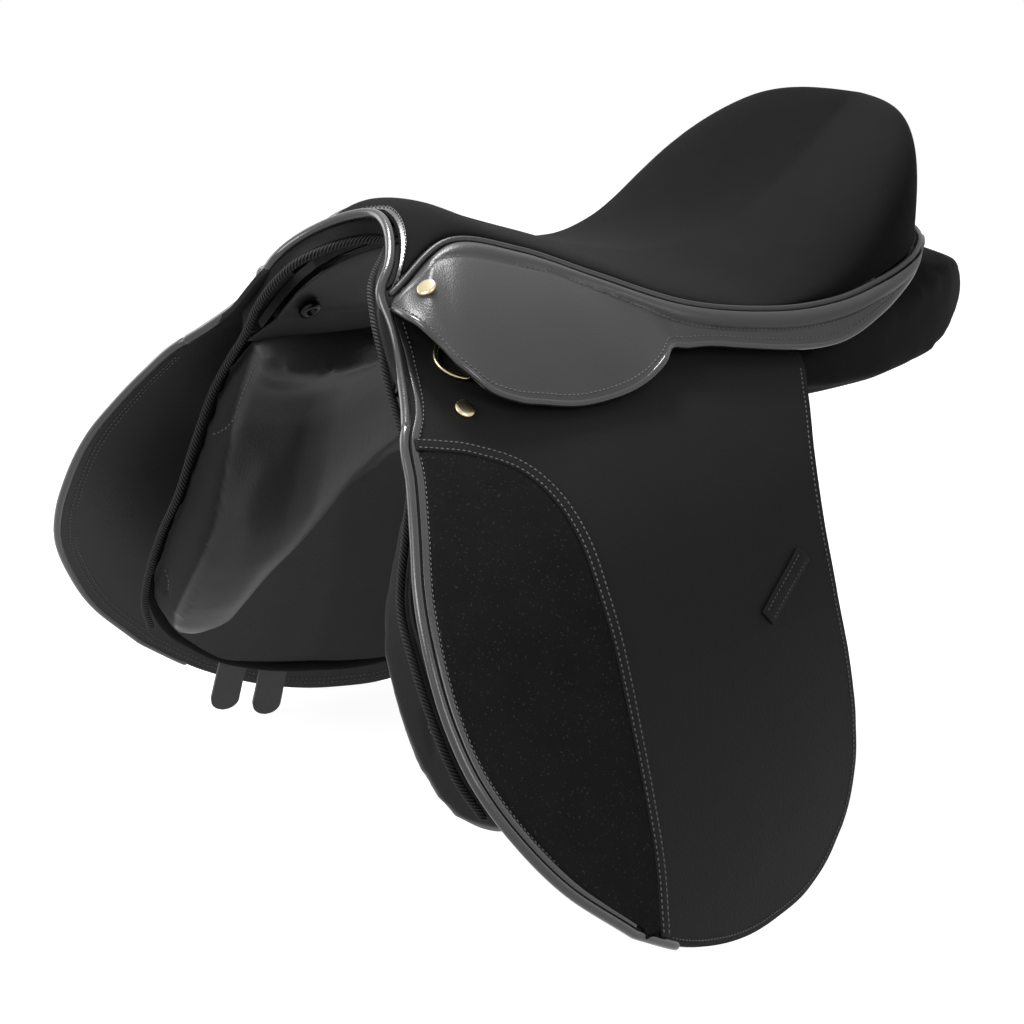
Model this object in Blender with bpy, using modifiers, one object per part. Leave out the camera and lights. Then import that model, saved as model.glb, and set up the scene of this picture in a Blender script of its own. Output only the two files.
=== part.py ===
"""All-purpose saddle, built as its real layers: tree, seat, skirts, flaps, sweat flaps and panels.

Metres, +Z up. The horse faces -Y and +X is its left (near) side. The origin lies on the line of the
horse's back, under the saddle's middle, at the height of the panels' underside.
"""
import math

import bmesh
import bpy
import numpy as np
from mathutils import Matrix, Vector

for old_object in list(bpy.data.objects):
    bpy.data.objects.remove(old_object, do_unlink=True)

# Clearances between pieces
TOUCH = 0.0003            # pieces that lie on each other
SOFT_CLEAR = 0.0009       # soft layers that follow each other
FOAM_CLEAR = 0.0018       # foam under its cover and over the tree
HINGE_GAP = 0.0009        # between the two pieces of a bend, so that their edges pass each other

# Side surface: the outer face of the flaps, bent over a straight fold
FOLD_X = 0.129            # half width of the saddle at the fold
FOLD_Z = 0.038            # height of the fold
TOP_LEAN = 40.8           # degrees below horizontal at the fold
LOW_LEAN = 72.8           # degrees below horizontal where the flap hangs
BEND_LENGTH = 0.139       # leather over which the lean changes
FLARE = 85.6              # degrees of lean per metre of length, so the front stands out
FLARE_MID_Y = -0.110      # where the flare is nil
HEAD_LEAN = 17.0          # extra lean of the leather that climbs the pommel's arch
HEAD_START_S = -0.036     # where that climb starts, above the fold
HEAD_BLEND = 0.020        # leather over which it begins
HEAD_REAR_Y = -0.150      # the climb fades out behind the pommel
HEAD_FADE = 0.070         # over this length

# Flaps
FLAP_THICK = 0.0035
FLAP_LENGTH = 0.341       # from the fold to the bottom
HINGE_FRONT_DROP = 0.003  # the flap's bend, below the fold at its front
HINGE_REAR_DROP = 0.020   # and at its rear
FLAP_FRONT_Y = -0.260
FLAP_REAR_Y = 0.044
FLAP_TOP_REACH = 0.050    # fixed leather above the fold
HEAD_REACH = 0.071        # and beside the pommel
HEAD_SHARE = 0.3          # share of the flap's length over which it climbs there
FLAP_LEAST = 0.010        # least width of the flap, at its bottom
FLAP_PIPING_RADIUS = 0.0027
FLAP_PIPING_SPAN = (0.030, 0.93)   # where the piping starts and ends, by the flap's rows
INSERT_CLEAR = 0.0006
INSERT_THICK = 0.0017
INSERT_LEAST = 0.006      # least width of the insert
BORDER_THICK = 0.0021
BORDER_WIDTH = 0.009
KEEPER_LENGTH = 0.050
KEEPER_WIDTH = 0.013
KEEPER_THICK = 0.0022

# Girth straps, webs and sweat flaps
WEB_THICK = 0.0015
STRAP_THICK = 0.0035
STRAP_WIDTH = 0.019
STRAP_TOP_S = 0.062
STRAP_END_S = 0.322       # tip of the near side's rear strap, measured as the flap is
FRONT_STRAP_SHORT = 0.009 # the front straps end this much higher
OFF_STRAP_DROP = 0.020    # the off-side straps hang this much lower
STRAP_TIP = 0.955         # where a strap starts to round off, by its length
STRAP_FALL = 0.080        # leather over which a strap falls back on to the sweat flap
STRAP_CLEAR = 0.0022
STRAP_TIP_CURVE = 0.8     # how much of its width a strap's tip rounds off
WEB_LAP = 0.012           # the web runs on this far over its straps' tops
FRONT_STRAP_Y = -0.172
REAR_STRAP_Y = -0.140
SWEAT_THICK = 0.0025
SWEAT_LENGTH = 0.306
SWEAT_BINDING_RADIUS = 0.0024
SWEAT_ROWS = 20
SWEAT_BOUND_ROW = 13      # the binding starts here
PANEL_ROWS = 13           # rows of the sweat flap that the front panel pads
SWEAT_STAND_OFF = 0.032   # how far the sweat flap falls away from the flap
FRONT_STAND_OFF = 0.020   # and how much more at the front
STAND_OFF_BLEND = 0.136   # leather over which it does so

# Tree
TREE_EDGE_DEPTH = FLAP_THICK + WEB_THICK + 3 * SOFT_CLEAR
TREE_THICK = 0.006
TREE_EDGE_S = -0.036      # the bars' edge, above the fold
BAR_LAP = 0.008           # webs and sweat flaps lap the bars by this much
GULLET_PLATE_THICK = 0.004
LINING_THICK = 0.0015
SCREW_RADIUS = 0.0075
SCREW_HEAD = 0.004
TREE_COLUMNS = 14
TREE_LENGTH_ROWS = 16

# Seat
SEAT_COLUMNS = 14
SEAT_LENGTH_ROWS = 24
COVER_THICK = 0.002
SEAT_PIPING_RADIUS = 0.0022

# Skirts
SKIRT_THICK = 0.0035
SKIRT_BULGE = 0.0035
SEAM_DROP = 0.35          # the seam's pieces sit this much down for each step outwards
CANTLE_BAND_Q = 0.95
CANTLE_BAND_THICK = 0.002
CANTLE_BAND_HEIGHT = 0.0075
SKIRT_HINGE_X = 0.108
SKIRT_HINGE_Z = 0.084
LOBE_BOTTOM_X = 0.1355
LOBE_BOTTOM_Z = 0.0385
LOBE_BULGE = 0.0035
LOBE_FRONT_Y = -0.2205
LOBE_REAR_Y = -0.067
LOBE_SLANT = 0.019        # how far back the rear edge runs on its way down
SKIRT_SKIVED = 0.0012     # thickness at the seam
HINGE_MITRE = (0.73, 0.0, 0.68)   # plane in which skirt and lobe meet, seen along the hinge

# Stirrup bars
BAR_Y = -0.128            # middle of the bar
BAR_S = -0.031
BAR_LENGTH = 0.070
BAR_HEIGHT = 0.011
BAR_THICK = 0.004
BAR_SLOT = 0.0072         # room for the stirrup leather
BAR_THIRD = 0.33          # faces of the bar, by its half length
BAR_PLATE_THICK = 0.002
BAR_PLATE_HEIGHT = 0.020
CATCH_LENGTH = 0.016
LEVER_LAP = 0.012         # length over which the bar's end is halved for its catch
CATCH_PIN_RADIUS = 0.0018
CATCH_MARGIN = 0.001      # the lever's end stands this far inside the bar's height
CATCH_TAPER = 0.8         # width of its tip, by its other end's
PIN_HEAD_RADIUS = 0.0030
PIN_HEAD_HEIGHT = 0.0008

# Dees, staples and nails
DEE_WIRE_RADIUS = 0.0014
DEE_HALF_LENGTH = 0.0155
DEE_REACH = 0.018
DEE_STRAIGHT = 0.7        # share of the straight side that is straight
DEE_CORNER = 18           # degrees of the curved side that its corners take
DEE_Y = -0.194
DEE_S = -0.044
STAPLE_WIRE_RADIUS = 0.0009
NAIL_RADIUS = 0.006
NAIL_HEIGHT = 0.0018
FLAP_NAIL_Y = -0.213
FLAP_NAIL_S = -0.0085
SKIRT_NAIL_PLACE = (0.62, 0.5)   # seat row, and how far down the skirt
SCREW_PLACE = (0.055, 0.735)     # how far along the tree, and round its arch

# Arch and panels
ARCH_PIPING_RADIUS = 0.003
BINDING_RADIUS = 0.0034
FACING_THICK = 0.002
PANEL_SPLIT_Y = -0.052    # where the front panel meets the rear one
PANEL_CLEAR = 0.0012      # under the sweat flap
PANEL_WAIST_Y = -0.049    # front end of the rear panel
PANEL_REAR_Y = 0.232
TAPE_LAP = 0.004          # the front panel starts this far behind its edge
CREASE_THICK = 0.006      # front panel at its crease
ROLL_SWELL = 0.006        # the front roll stands out this much more
ROLL_SHARE = 0.55         # over this share of the panel's width
ROLL_BLEND = 0.75         # and its thickness fades out over this share
UPPER_FILL = 0.011        # extra padding beside the arch
UPPER_FILL_S = 0.10       # where that padding ends
UPPER_FILL_BLEND = 0.14
BOWL_MIDDLE = 0.55        # where a rear panel hangs lowest, by its width
BOWL_INNER = 0.024        # how much higher its inner edge lies
BOWL_OUTER = 0.012        # and its outer edge
PANEL_LEAST = 0.012       # least thickness of a rear panel
PANEL_END_CROWDING = 0.9  # spacing of its sections towards the rear

parts = bpy.data.collections.new("all_purpose_saddle")
bpy.context.scene.collection.children.link(parts)


def through(points):
    """A smooth function that passes through a few (place, value) pairs."""
    places, values = np.array(points, float).T
    slopes = np.gradient(values, places)

    def value(place):
        place = float(np.clip(place, places[0], places[-1]))
        i = int(np.clip(np.searchsorted(places, place) - 1, 0, len(places) - 2))
        span = places[i + 1] - places[i]
        t = (place - places[i]) / span
        start = (2 * t**3 - 3 * t**2 + 1) * values[i] + (t**3 - 2 * t**2 + t) * span * slopes[i]
        end = (3 * t**2 - 2 * t**3) * values[i + 1] + (t**3 - t**2) * span * slopes[i + 1]
        return float(start + end)

    return value


def mix(a, b, t):
    return a + (b - a) * t


def ease(t):
    t = min(max(t, 0.0), 1.0)
    return t * t * (3 - 2 * t)


def path_through(points, count):
    """Evenly numbered points on a smooth curve through the given ones."""
    steps = np.linspace(0, 1, len(points))
    axes = [through(list(zip(steps, column))) for column in np.array(points, float).T]
    return [Vector([axis(t) for axis in axes]) for t in np.linspace(0, 1, count)]


def lean_at(y, s):
    """Angle of the side surface below horizontal, in radians."""
    bend = np.clip(s / BEND_LENGTH, -0.3, 1.0)
    flare = FLARE * (y - FLARE_MID_Y) * np.clip(s / BEND_LENGTH, 0.0, 1.0)
    up = np.clip((HEAD_START_S - s) / HEAD_BLEND, 0.0, 1.0)
    forward = np.clip((HEAD_REAR_Y - y) / HEAD_FADE, 0.0, 1.0)
    return np.radians(TOP_LEAN + (LOW_LEAN - TOP_LEAN) * bend + flare + HEAD_LEAN * up * forward)


def side_point(side, y, s, depth=0.0):
    """Point at y along the saddle, s down the leather from the fold and depth inside its face."""
    steps = np.linspace(0.0, s, 25)
    lean = lean_at(y, steps)
    x = FOLD_X + np.trapz(np.cos(lean), steps) - depth * math.sin(lean[-1])
    z = FOLD_Z - np.trapz(np.sin(lean), steps) - depth * math.cos(lean[-1])
    return Vector((side * x, y, z))


def side_normal(side, y, s):
    lean = float(lean_at(y, s))
    return Vector((side * math.sin(lean), 0.0, math.cos(lean)))


def material(name, colour, roughness, metallic=0.0):
    made = bpy.data.materials.new(name)
    made.use_nodes = True
    shader = made.node_tree.nodes["Principled BSDF"]
    shader.inputs["Base Color"].default_value = (*colour, 1.0)
    shader.inputs["Roughness"].default_value = roughness
    shader.inputs["Metallic"].default_value = metallic
    return made


LEATHER = material("black_leather", (0.020, 0.020, 0.021), 0.42)
SUEDE = material("black_suede", (0.010, 0.010, 0.010), 0.90)
SEAT_CLOTH = material("seat_microfibre", (0.012, 0.012, 0.012), 0.80)
PANEL_SKIN = material("panel_leather", (0.016, 0.016, 0.016), 0.50)
WEBBING = material("black_webbing", (0.010, 0.010, 0.010), 0.85)
FOAM = material("foam", (0.30, 0.30, 0.28), 0.95)
POLYMER = material("tree_polymer", (0.03, 0.03, 0.03), 0.50)
STEEL = material("steel", (0.45, 0.45, 0.46), 0.30, 1.0)
BLACK_STEEL = material("black_steel", (0.02, 0.02, 0.02), 0.30, 1.0)
BRASS = material("brass", (0.60, 0.45, 0.20), 0.25, 1.0)


def add_part(name, mesh, finish, origin=None):
    """Link a mesh in world coordinates as a part whose origin is the given point."""
    if origin is not None:
        mesh.transform(Matrix.Translation(-Vector(origin)))
    mesh.materials.clear()
    mesh.materials.append(finish)
    made = bpy.data.objects.new(name, mesh)
    if origin is not None:
        made.location = origin
    parts.objects.link(made)
    return made


def block(name, columns, rows, place, finish, origin=None):
    """A grid of two layers, closed at its edges, with each vertex put at place(u, v, layer)."""
    bm = bmesh.new()
    bmesh.ops.create_grid(bm, x_segments=columns, y_segments=rows, size=0.5)
    layer_of = {vertex: 0 for vertex in bm.verts}
    made = bmesh.ops.extrude_face_region(bm, geom=bm.faces[:], use_keep_orig=True)
    for element in made["geom"]:
        if isinstance(element, bmesh.types.BMVert):
            layer_of[element] = 1
    for vertex, layer in layer_of.items():
        vertex.co = place(vertex.co.x + 0.5, vertex.co.y + 0.5, layer)
    bmesh.ops.recalc_face_normals(bm, faces=bm.faces[:])
    if bm.calc_volume(signed=True) < 0:
        bmesh.ops.reverse_faces(bm, faces=bm.faces[:])
    mesh = bpy.data.meshes.new(name)
    bm.to_mesh(mesh)
    bm.free()
    mesh.shade_smooth()
    mesh.set_sharp_from_angle(angle=math.radians(40))
    return add_part(name, mesh, finish, origin)


def tube(name, points, radius, finish, sides=2, closed=False, origin=None):
    """A round wire, cord or piping through the points, with filled ends."""
    curve = bpy.data.curves.new(name, "CURVE")
    curve.dimensions = "3D"
    curve.bevel_depth = radius
    curve.bevel_resolution = sides
    curve.use_fill_caps = True
    spline = curve.splines.new("POLY")
    spline.points.add(len(points) - 1)
    spline.use_cyclic_u = closed
    base = Vector(origin) if origin is not None else Vector((0, 0, 0))
    for point, place in zip(spline.points, points):
        point.co = (*(Vector(place) - base), 1.0)
    curve.materials.append(finish)
    made = bpy.data.objects.new(name, curve)
    made.location = base
    parts.objects.link(made)
    return made


SIDES = (("left", 1), ("right", -1))
OUTLINE_STEP = 0.001      # leather over which an outline's slope is taken
ROW_CROWDING = 1.55
FLAP_ROWS = 20
INSERT_ROWS = [0.5] + list(range(1, 15))   # rows of the flap that the insert follows
KEEPER_MID_Y = -0.026
KEEPER_MID_S = 0.142
KEEPER_TILT = 42.0        # degrees from the saddle's length

# The flap's outline: how far forward and back it reaches at each length of leather
flap_front = through([(0.0, FLAP_FRONT_Y), (0.030, -0.269), (0.061, -0.279), (0.096, -0.289),
                      (0.140, -0.294), (0.175, -0.2935), (0.204, -0.288), (0.239, -0.272),
                      (0.276, -0.247), (0.309, -0.211), (0.329, -0.168), (FLAP_LENGTH, -0.100)])
flap_rear = through([(0.0, FLAP_REAR_Y), (0.028, 0.034), (0.066, 0.021), (0.110, 0.016),
                     (0.156, 0.023), (0.205, 0.034), (0.246, 0.039), (0.280, 0.036),
                     (0.306, 0.022), (0.322, 0.004), (0.335, -0.026), (FLAP_LENGTH, -0.070)])

# The suede insert's rear line
insert_rear = through([(0.000, -0.250), (0.010, -0.240), (0.024, -0.218), (0.042, -0.198), (0.062, -0.187),
                       (0.085, -0.179), (0.118, -0.1765), (0.155, -0.1755), (0.198, -0.178),
                       (0.240, -0.181), (0.280, -0.186), (0.325, -0.194)])


def hinge_drop(y):
    """Distance of the flap's bend below the fold."""
    return mix(HINGE_FRONT_DROP, HINGE_REAR_DROP, (y - FLAP_FRONT_Y) / (FLAP_REAR_Y - FLAP_FRONT_Y))


def hinge_point(side, y):
    return side_point(side, y, hinge_drop(y))


def round_rows(v):
    """Rows that crowd towards the rounded bottom of a flap."""
    return 1.0 - (1.0 - v) ** ROW_CROWDING


def flap_s(v, y):
    """Distance below the fold of a flap row, at a place along the saddle."""
    top = hinge_drop(y) + HINGE_GAP / 2
    return top + round_rows(v) * (FLAP_LENGTH - top)


def beside(line, s, room):
    """Distance along the saddle that leaves the given room square to an outline."""
    slope = (line(s + OUTLINE_STEP) - line(s - OUTLINE_STEP)) / (2 * OUTLINE_STEP)
    return room * math.hypot(1.0, slope)


def make_flap(tag, side):
    hinge = hinge_point(side, FLAP_FRONT_Y)
    piping_room = FLAP_PIPING_RADIUS + SOFT_CLEAR

    def sheet(u, v, layer):
        row = FLAP_LENGTH * round_rows(v)
        front = min(flap_front(row) + beside(flap_front, row, piping_room), flap_rear(row) - FLAP_LEAST)
        y = mix(front, flap_rear(row), u)
        return side_point(side, y, flap_s(v, y), FLAP_THICK * layer)

    block(f"flap_{tag}", 10, FLAP_ROWS, sheet, LEATHER, hinge)
    edge = []
    for v in np.linspace(*FLAP_PIPING_SPAN, 24):
        y = flap_front(FLAP_LENGTH * round_rows(v))
        edge.append(side_point(side, y, flap_s(v, y), FLAP_THICK / 2))
    tube(f"flap_piping_{tag}", edge, FLAP_PIPING_RADIUS, LEATHER, 1, origin=hinge)


def make_insert(tag, side):
    """Suede insert on the flap's front, and the curved border strip behind it."""
    hinge = hinge_point(side, FLAP_FRONT_Y)
    count = len(INSERT_ROWS) - 1

    def suede(u, v, layer):
        row = INSERT_ROWS[round(v * count)] / FLAP_ROWS
        s = FLAP_LENGTH * round_rows(row)
        front = flap_front(s) + beside(flap_front, s, FLAP_PIPING_RADIUS + 2 * SOFT_CLEAR)
        y = mix(min(front, insert_rear(s) - INSERT_LEAST), insert_rear(s) - TOUCH / 2, u)
        return side_point(side, y, flap_s(row, y), -INSERT_CLEAR - INSERT_THICK * layer)

    def border(u, v, layer):
        row = INSERT_ROWS[round(v * count)] / FLAP_ROWS
        s = FLAP_LENGTH * round_rows(row)
        width = beside(insert_rear, s, BORDER_WIDTH)
        y = insert_rear(s) + TOUCH + width * u
        return side_point(side, y, flap_s(row, y), -INSERT_CLEAR - BORDER_THICK * layer)

    block(f"knee_insert_{tag}", 5, count, suede, SUEDE, hinge)
    block(f"insert_border_{tag}", 1, count, border, LEATHER, hinge)


def make_keeper(tag, side):
    tilt = math.radians(KEEPER_TILT)

    def tab(u, v, layer):
        along, across = (u - 0.5) * KEEPER_LENGTH, (v - 0.5) * KEEPER_WIDTH
        y = KEEPER_MID_Y + along * math.cos(tilt) + across * math.sin(tilt)
        s = KEEPER_MID_S - along * math.sin(tilt) + across * math.cos(tilt)
        return side_point(side, y, s, -TOUCH - KEEPER_THICK * layer)

    block(f"keeper_{tag}", 4, 2, tab, LEATHER, hinge_point(side, FLAP_FRONT_Y))


# Front and rear edges of the flap's fixed top, by distance above the fold
top_front = through([(-0.075, -0.2290), (-0.055, -0.2320), (-0.035, -0.2385), (-0.012, -0.2490),
                     (0.006, FLAP_FRONT_Y)])
top_rear = through([(-0.050, 0.030), (-0.025, 0.038), (0.006, FLAP_REAR_Y)])


def make_flap_top(tag, side):
    """Fixed leather between the tree and the flap's bend, climbing the pommel at its front."""
    def sheet(u, v, layer):
        reach = mix(FLAP_TOP_REACH, HEAD_REACH, ease(1 - u / HEAD_SHARE))
        s = -reach * (1 - v)
        y = mix(top_front(s) + ARCH_PIPING_RADIUS + TOUCH, top_rear(s), u)
        return side_point(side, y, s + v * (hinge_drop(y) - HINGE_GAP / 2), FLAP_THICK * layer)

    block(f"flap_top_{tag}", 14, 6, sheet, LEATHER)


def under_depth(y, s):
    """Depth of the sweat flap's outer face below the flap's."""
    start = TREE_EDGE_DEPTH + TREE_THICK + 2 * SOFT_CLEAR
    front = FRONT_STAND_OFF * min(max((FLARE_MID_Y - y) / (FLARE_MID_Y - FLAP_FRONT_Y), 0.0), 1.0)
    return start + (SWEAT_STAND_OFF + front) * ease((s - TREE_EDGE_S) / STAND_OFF_BLEND)


# Front edge of the sweat flap and of the front panel, along the ribbed binding
panel_front_edge = through([(-0.043, -0.2335), (0.0, -0.2415), (0.040, -0.2530), (0.080, -0.2630),
                            (0.120, -0.2665), (0.165, -0.2660), (0.200, -0.2610), (0.225, -0.2500),
                            (0.243, -0.2320)])
# The front panel's rear line is the crease where its padding ends
panel_crease = through([(-0.043, PANEL_SPLIT_Y), (0.000, PANEL_SPLIT_Y), (0.040, PANEL_SPLIT_Y),
                        (0.075, PANEL_SPLIT_Y - 0.006), (0.100, -0.068), (0.125, -0.098), (0.150, -0.130),
                        (0.185, -0.160), (0.215, -0.180), (0.243, -0.205)])
sweat_front = through([(-0.036, -0.2320), (0.0, -0.2380), (0.040, -0.2500), (0.080, -0.2600),
                       (0.120, -0.2635), (0.170, -0.2630), (0.210, -0.2580), (0.240, -0.2460),
                       (0.270, -0.2100), (0.290, -0.1750), (SWEAT_LENGTH, -0.1300)])
sweat_rear = through([(-0.036, 0.020), (0.040, 0.010), (0.120, 0.006), (0.190, 0.010),
                      (0.240, 0.006), (0.272, -0.010), (0.292, -0.035), (SWEAT_LENGTH, -0.078)])


def sweat_s(row):
    """Distance below the fold of a row of the sweat flap, which the panel under it shares."""
    return mix(TREE_EDGE_S - BAR_LAP, SWEAT_LENGTH, round_rows(row / SWEAT_ROWS))


def make_sweat_flap(tag, side):
    def sheet(u, v, layer):
        s = sweat_s(round(v * SWEAT_ROWS))
        y = mix(sweat_front(s), sweat_rear(s), u)
        return side_point(side, y, s, under_depth(y, s) + SWEAT_THICK * layer)

    block(f"sweat_flap_{tag}", 8, SWEAT_ROWS, sheet, LEATHER)
    downs = [sweat_s(row) for row in range(SWEAT_BOUND_ROW, SWEAT_ROWS + 1)]
    edge = [Vector((sweat_front(s), s)) for s in downs] + [Vector((sweat_rear(s), s)) for s in reversed(downs)]
    room = SWEAT_BINDING_RADIUS + SOFT_CLEAR
    rim = []
    for i, point in enumerate(edge):
        run = (edge[min(i + 1, len(edge) - 1)] - edge[max(i - 1, 0)]).normalized()
        y, s = point + Vector((-run.y, run.x)) * room
        rim.append(side_point(side, y, s, under_depth(y, s) + SWEAT_THICK / 2))
    tube(f"sweat_binding_{tag}", rim, SWEAT_BINDING_RADIUS, WEBBING, 1)


roll_depth = through([(-0.043, 0.009), (0.0, 0.017), (0.040, 0.030), (0.080, 0.040), (0.120, 0.046),
                      (0.185, 0.046), (0.215, 0.040), (0.234, 0.028), (0.243, 0.016)])


def make_front_panel(tag, side):
    """Padded front of the panel: a thick roll in front, thin at the crease."""
    def cushion(u, v, layer):
        s = sweat_s(PANEL_ROWS * v)
        y = mix(panel_front_edge(s) + TAPE_LAP, panel_crease(s) - SOFT_CLEAR, u)
        back = ease((1 - u) / ROLL_BLEND)
        upper = UPPER_FILL * ease((UPPER_FILL_S - s) / UPPER_FILL_BLEND)
        swell = math.sin(math.pi * min(u / ROLL_SHARE, 1.0)) * ROLL_SWELL
        thick = CREASE_THICK + upper + (roll_depth(s) - CREASE_THICK + swell) * back
        outer = under_depth(y, s) + SWEAT_THICK + PANEL_CLEAR
        return side_point(side, y, s, outer + thick * layer)

    block(f"panel_front_{tag}", 8, PANEL_ROWS, cushion, PANEL_SKIN)


# Rear panel's inner and outer side, the height of its top along both, and its underside
channel_x = through([(PANEL_WAIST_Y, 0.050), (0.030, 0.037), (0.150, 0.034), (0.200, 0.040),
                     (PANEL_REAR_Y, 0.058)])
panel_outer_x = through([(PANEL_WAIST_Y, 0.104), (0.040, 0.108), (0.075, 0.121), (0.120, 0.122),
                         (0.170, 0.115), (0.205, 0.104), (PANEL_REAR_Y, 0.088)])
panel_top_inner = through([(PANEL_WAIST_Y, 0.056), (0.030, 0.052), (0.100, 0.058), (0.150, 0.068),
                           (0.190, 0.0775), (0.215, 0.0767), (PANEL_REAR_Y, 0.0585)])
panel_top_outer = through([(PANEL_WAIST_Y, 0.022), (0.040, 0.022), (0.075, 0.040), (0.110, 0.047),
                           (0.150, 0.055), (0.190, 0.0705), (0.215, 0.073), (PANEL_REAR_Y, 0.055)])
panel_under = through([(PANEL_WAIST_Y, -0.004), (0.030, 0.000), (0.150, 0.001), (0.200, 0.010),
                       (PANEL_REAR_Y, 0.030)])


def make_rear_panel(tag, side):
    """Long cushion beside the channel, from the waist to the cantle."""
    def cushion(u, v, layer):
        y = mix(PANEL_WAIST_Y, PANEL_REAR_Y, math.sin(u * math.pi / 2) ** PANEL_END_CROWDING)
        x = mix(channel_x(y), panel_outer_x(y), v)
        top = mix(panel_top_inner(y), panel_top_outer(y), v)
        bowl = 4 * (v - BOWL_MIDDLE) ** 2
        under = panel_under(y) + bowl * mix(BOWL_INNER, BOWL_OUTER, v)
        return Vector((side * x, y, mix(top, min(under, top - PANEL_LEAST), layer)))

    block(f"panel_rear_{tag}", 10, 6, cushion, PANEL_SKIN)


CROWN_REACH = 0.55        # how far out the crown of a section is held level
EDGE_LEAD = 0.75          # how far its shoulder has moved towards the edge's place


def section(row, q):
    """Point across a loft: from the middle line (q 0) to the edge (q 1), as one Bezier curve."""
    middle_y, middle_z, edge_x, edge_y, edge_z, shoulder, tuck, rise, lead = row
    side = -1 if q < 0 else 1
    t = abs(q)
    points = ((0.0, middle_y, middle_z),
              (CROWN_REACH * edge_x, mix(middle_y, edge_y, lead), middle_z + rise),
              (edge_x - tuck, mix(middle_y, edge_y, EDGE_LEAD + lead / 3), edge_z + shoulder),
              (edge_x, edge_y, edge_z))
    weights = ((1 - t)**3, 3 * (1 - t)**2 * t, 3 * (1 - t) * t**2, t**3)
    x, y, z = (sum(w * p[k] for w, p in zip(weights, points)) for k in range(3))
    return Vector((side * x, y, z))


def with_depth(on_face):
    """Surface point at a depth inside the face, along its normal: place(u, v, depth)."""
    step = 0.004

    def place(u, v, depth=0.0):
        along = on_face(min(u + step, 1.0), v) - on_face(max(u - step, 0.0), v)
        across = on_face(u, min(v + step, 1.0)) - on_face(u, max(v - step, -1.0))
        return on_face(u, v) - across.cross(along).normalized() * depth

    return place


def loft(rows):
    """Surface over a table of rows: place(v, q, depth), q from -1 to 1 across."""
    columns = [through(list(enumerate(column))) for column in zip(*rows)]
    last = len(rows) - 1

    def on_face(v, q):
        return section([column(v * last) for column in columns], q)

    return with_depth(on_face)


# Rows of the seat, pommel to cantle: middle y and z, seam x, y and z, shoulder, tuck, rise and lead
SEAT_ROWS = [
    (-0.1840, 0.1375, 0.0580, -0.2215, 0.1030, 0.005, 0.000, -0.011, 0.48),
    (-0.1600, 0.1395, 0.0510, -0.1760, 0.1270, 0.008, 0.000, 0.000, 0.50),
    (-0.1250, 0.1260, 0.0640, -0.1310, 0.1185, 0.006, 0.000, 0.000, 0.30),
    (-0.0850, 0.1120, 0.0845, -0.0870, 0.1005, 0.006, 0.000, 0.000, 0.30),
    (-0.0360, 0.0960, 0.1120, -0.0360, 0.0805, 0.005, 0.000, -0.002, 0.30),
    (0.0220, 0.0855, 0.1230, 0.0250, 0.0703, 0.004, 0.000, -0.003, 0.30),
    (0.0730, 0.0880, 0.1270, 0.0735, 0.0703, 0.018, 0.000, -0.002, 0.30),
    (0.1165, 0.1040, 0.1270, 0.1115, 0.0780, 0.062, 0.000, 0.004, 0.30),
    (0.1560, 0.1290, 0.1200, 0.1420, 0.0852, 0.086, 0.000, 0.010, 0.30),
    (0.1900, 0.1560, 0.1095, 0.1600, 0.0903, 0.088, 0.000, 0.007, 0.30),
    (0.2130, 0.1750, 0.1000, 0.1700, 0.0925, 0.080, 0.000, 0.000, 0.30),
    (0.2230, 0.1500, 0.0920, 0.1770, 0.0925, 0.060, 0.000, 0.000, 0.30),
    (0.2190, 0.1150, 0.0870, 0.1810, 0.0925, 0.022, 0.000, 0.000, 0.30),
    (0.2090, 0.0915, 0.0820, 0.1840, 0.0925, 0.000, 0.000, 0.000, 0.30),
]
# Rows of the tree, head to cantle, with its bars' edges tucked under the flaps' top
TREE_EDGE = side_point(1, 0.0, TREE_EDGE_S, TREE_EDGE_DEPTH)
TREE_ROWS = [
    (-0.1720, 0.1260, TREE_EDGE.x, -0.2180, TREE_EDGE.z, 0.028, 0.030, -0.015, 0.75),
    (-0.1530, 0.1265, TREE_EDGE.x, -0.1850, TREE_EDGE.z, 0.022, 0.028, -0.010, 0.50),
    (-0.1200, 0.1120, TREE_EDGE.x, -0.1300, TREE_EDGE.z, 0.015, 0.024, -0.004, 0.30),
    (-0.0600, 0.0880, TREE_EDGE.x, -0.0600, TREE_EDGE.z, 0.010, 0.0175, -0.002, 0.30),
    (0.0000, 0.0720, TREE_EDGE.x, 0.0000, TREE_EDGE.z, 0.008, 0.014, -0.001, 0.30),
    (0.0450, 0.0700, TREE_EDGE.x, 0.0450, TREE_EDGE.z, 0.007, 0.012, 0.000, 0.30),
    (0.0850, 0.0780, 0.1060, 0.0800, 0.0570, 0.010, 0.010, 0.000, 0.30),
    (0.1300, 0.0980, 0.1100, 0.1150, 0.0650, 0.022, 0.004, 0.000, 0.30),
    (0.1750, 0.1300, 0.0960, 0.1480, 0.0760, 0.040, 0.002, 0.002, 0.30),
    (0.2020, 0.1560, 0.0780, 0.1680, 0.0860, 0.050, 0.000, 0.000, 0.30),
]
seat_face = loft(SEAT_ROWS)
tree_face = loft(TREE_ROWS)


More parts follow.
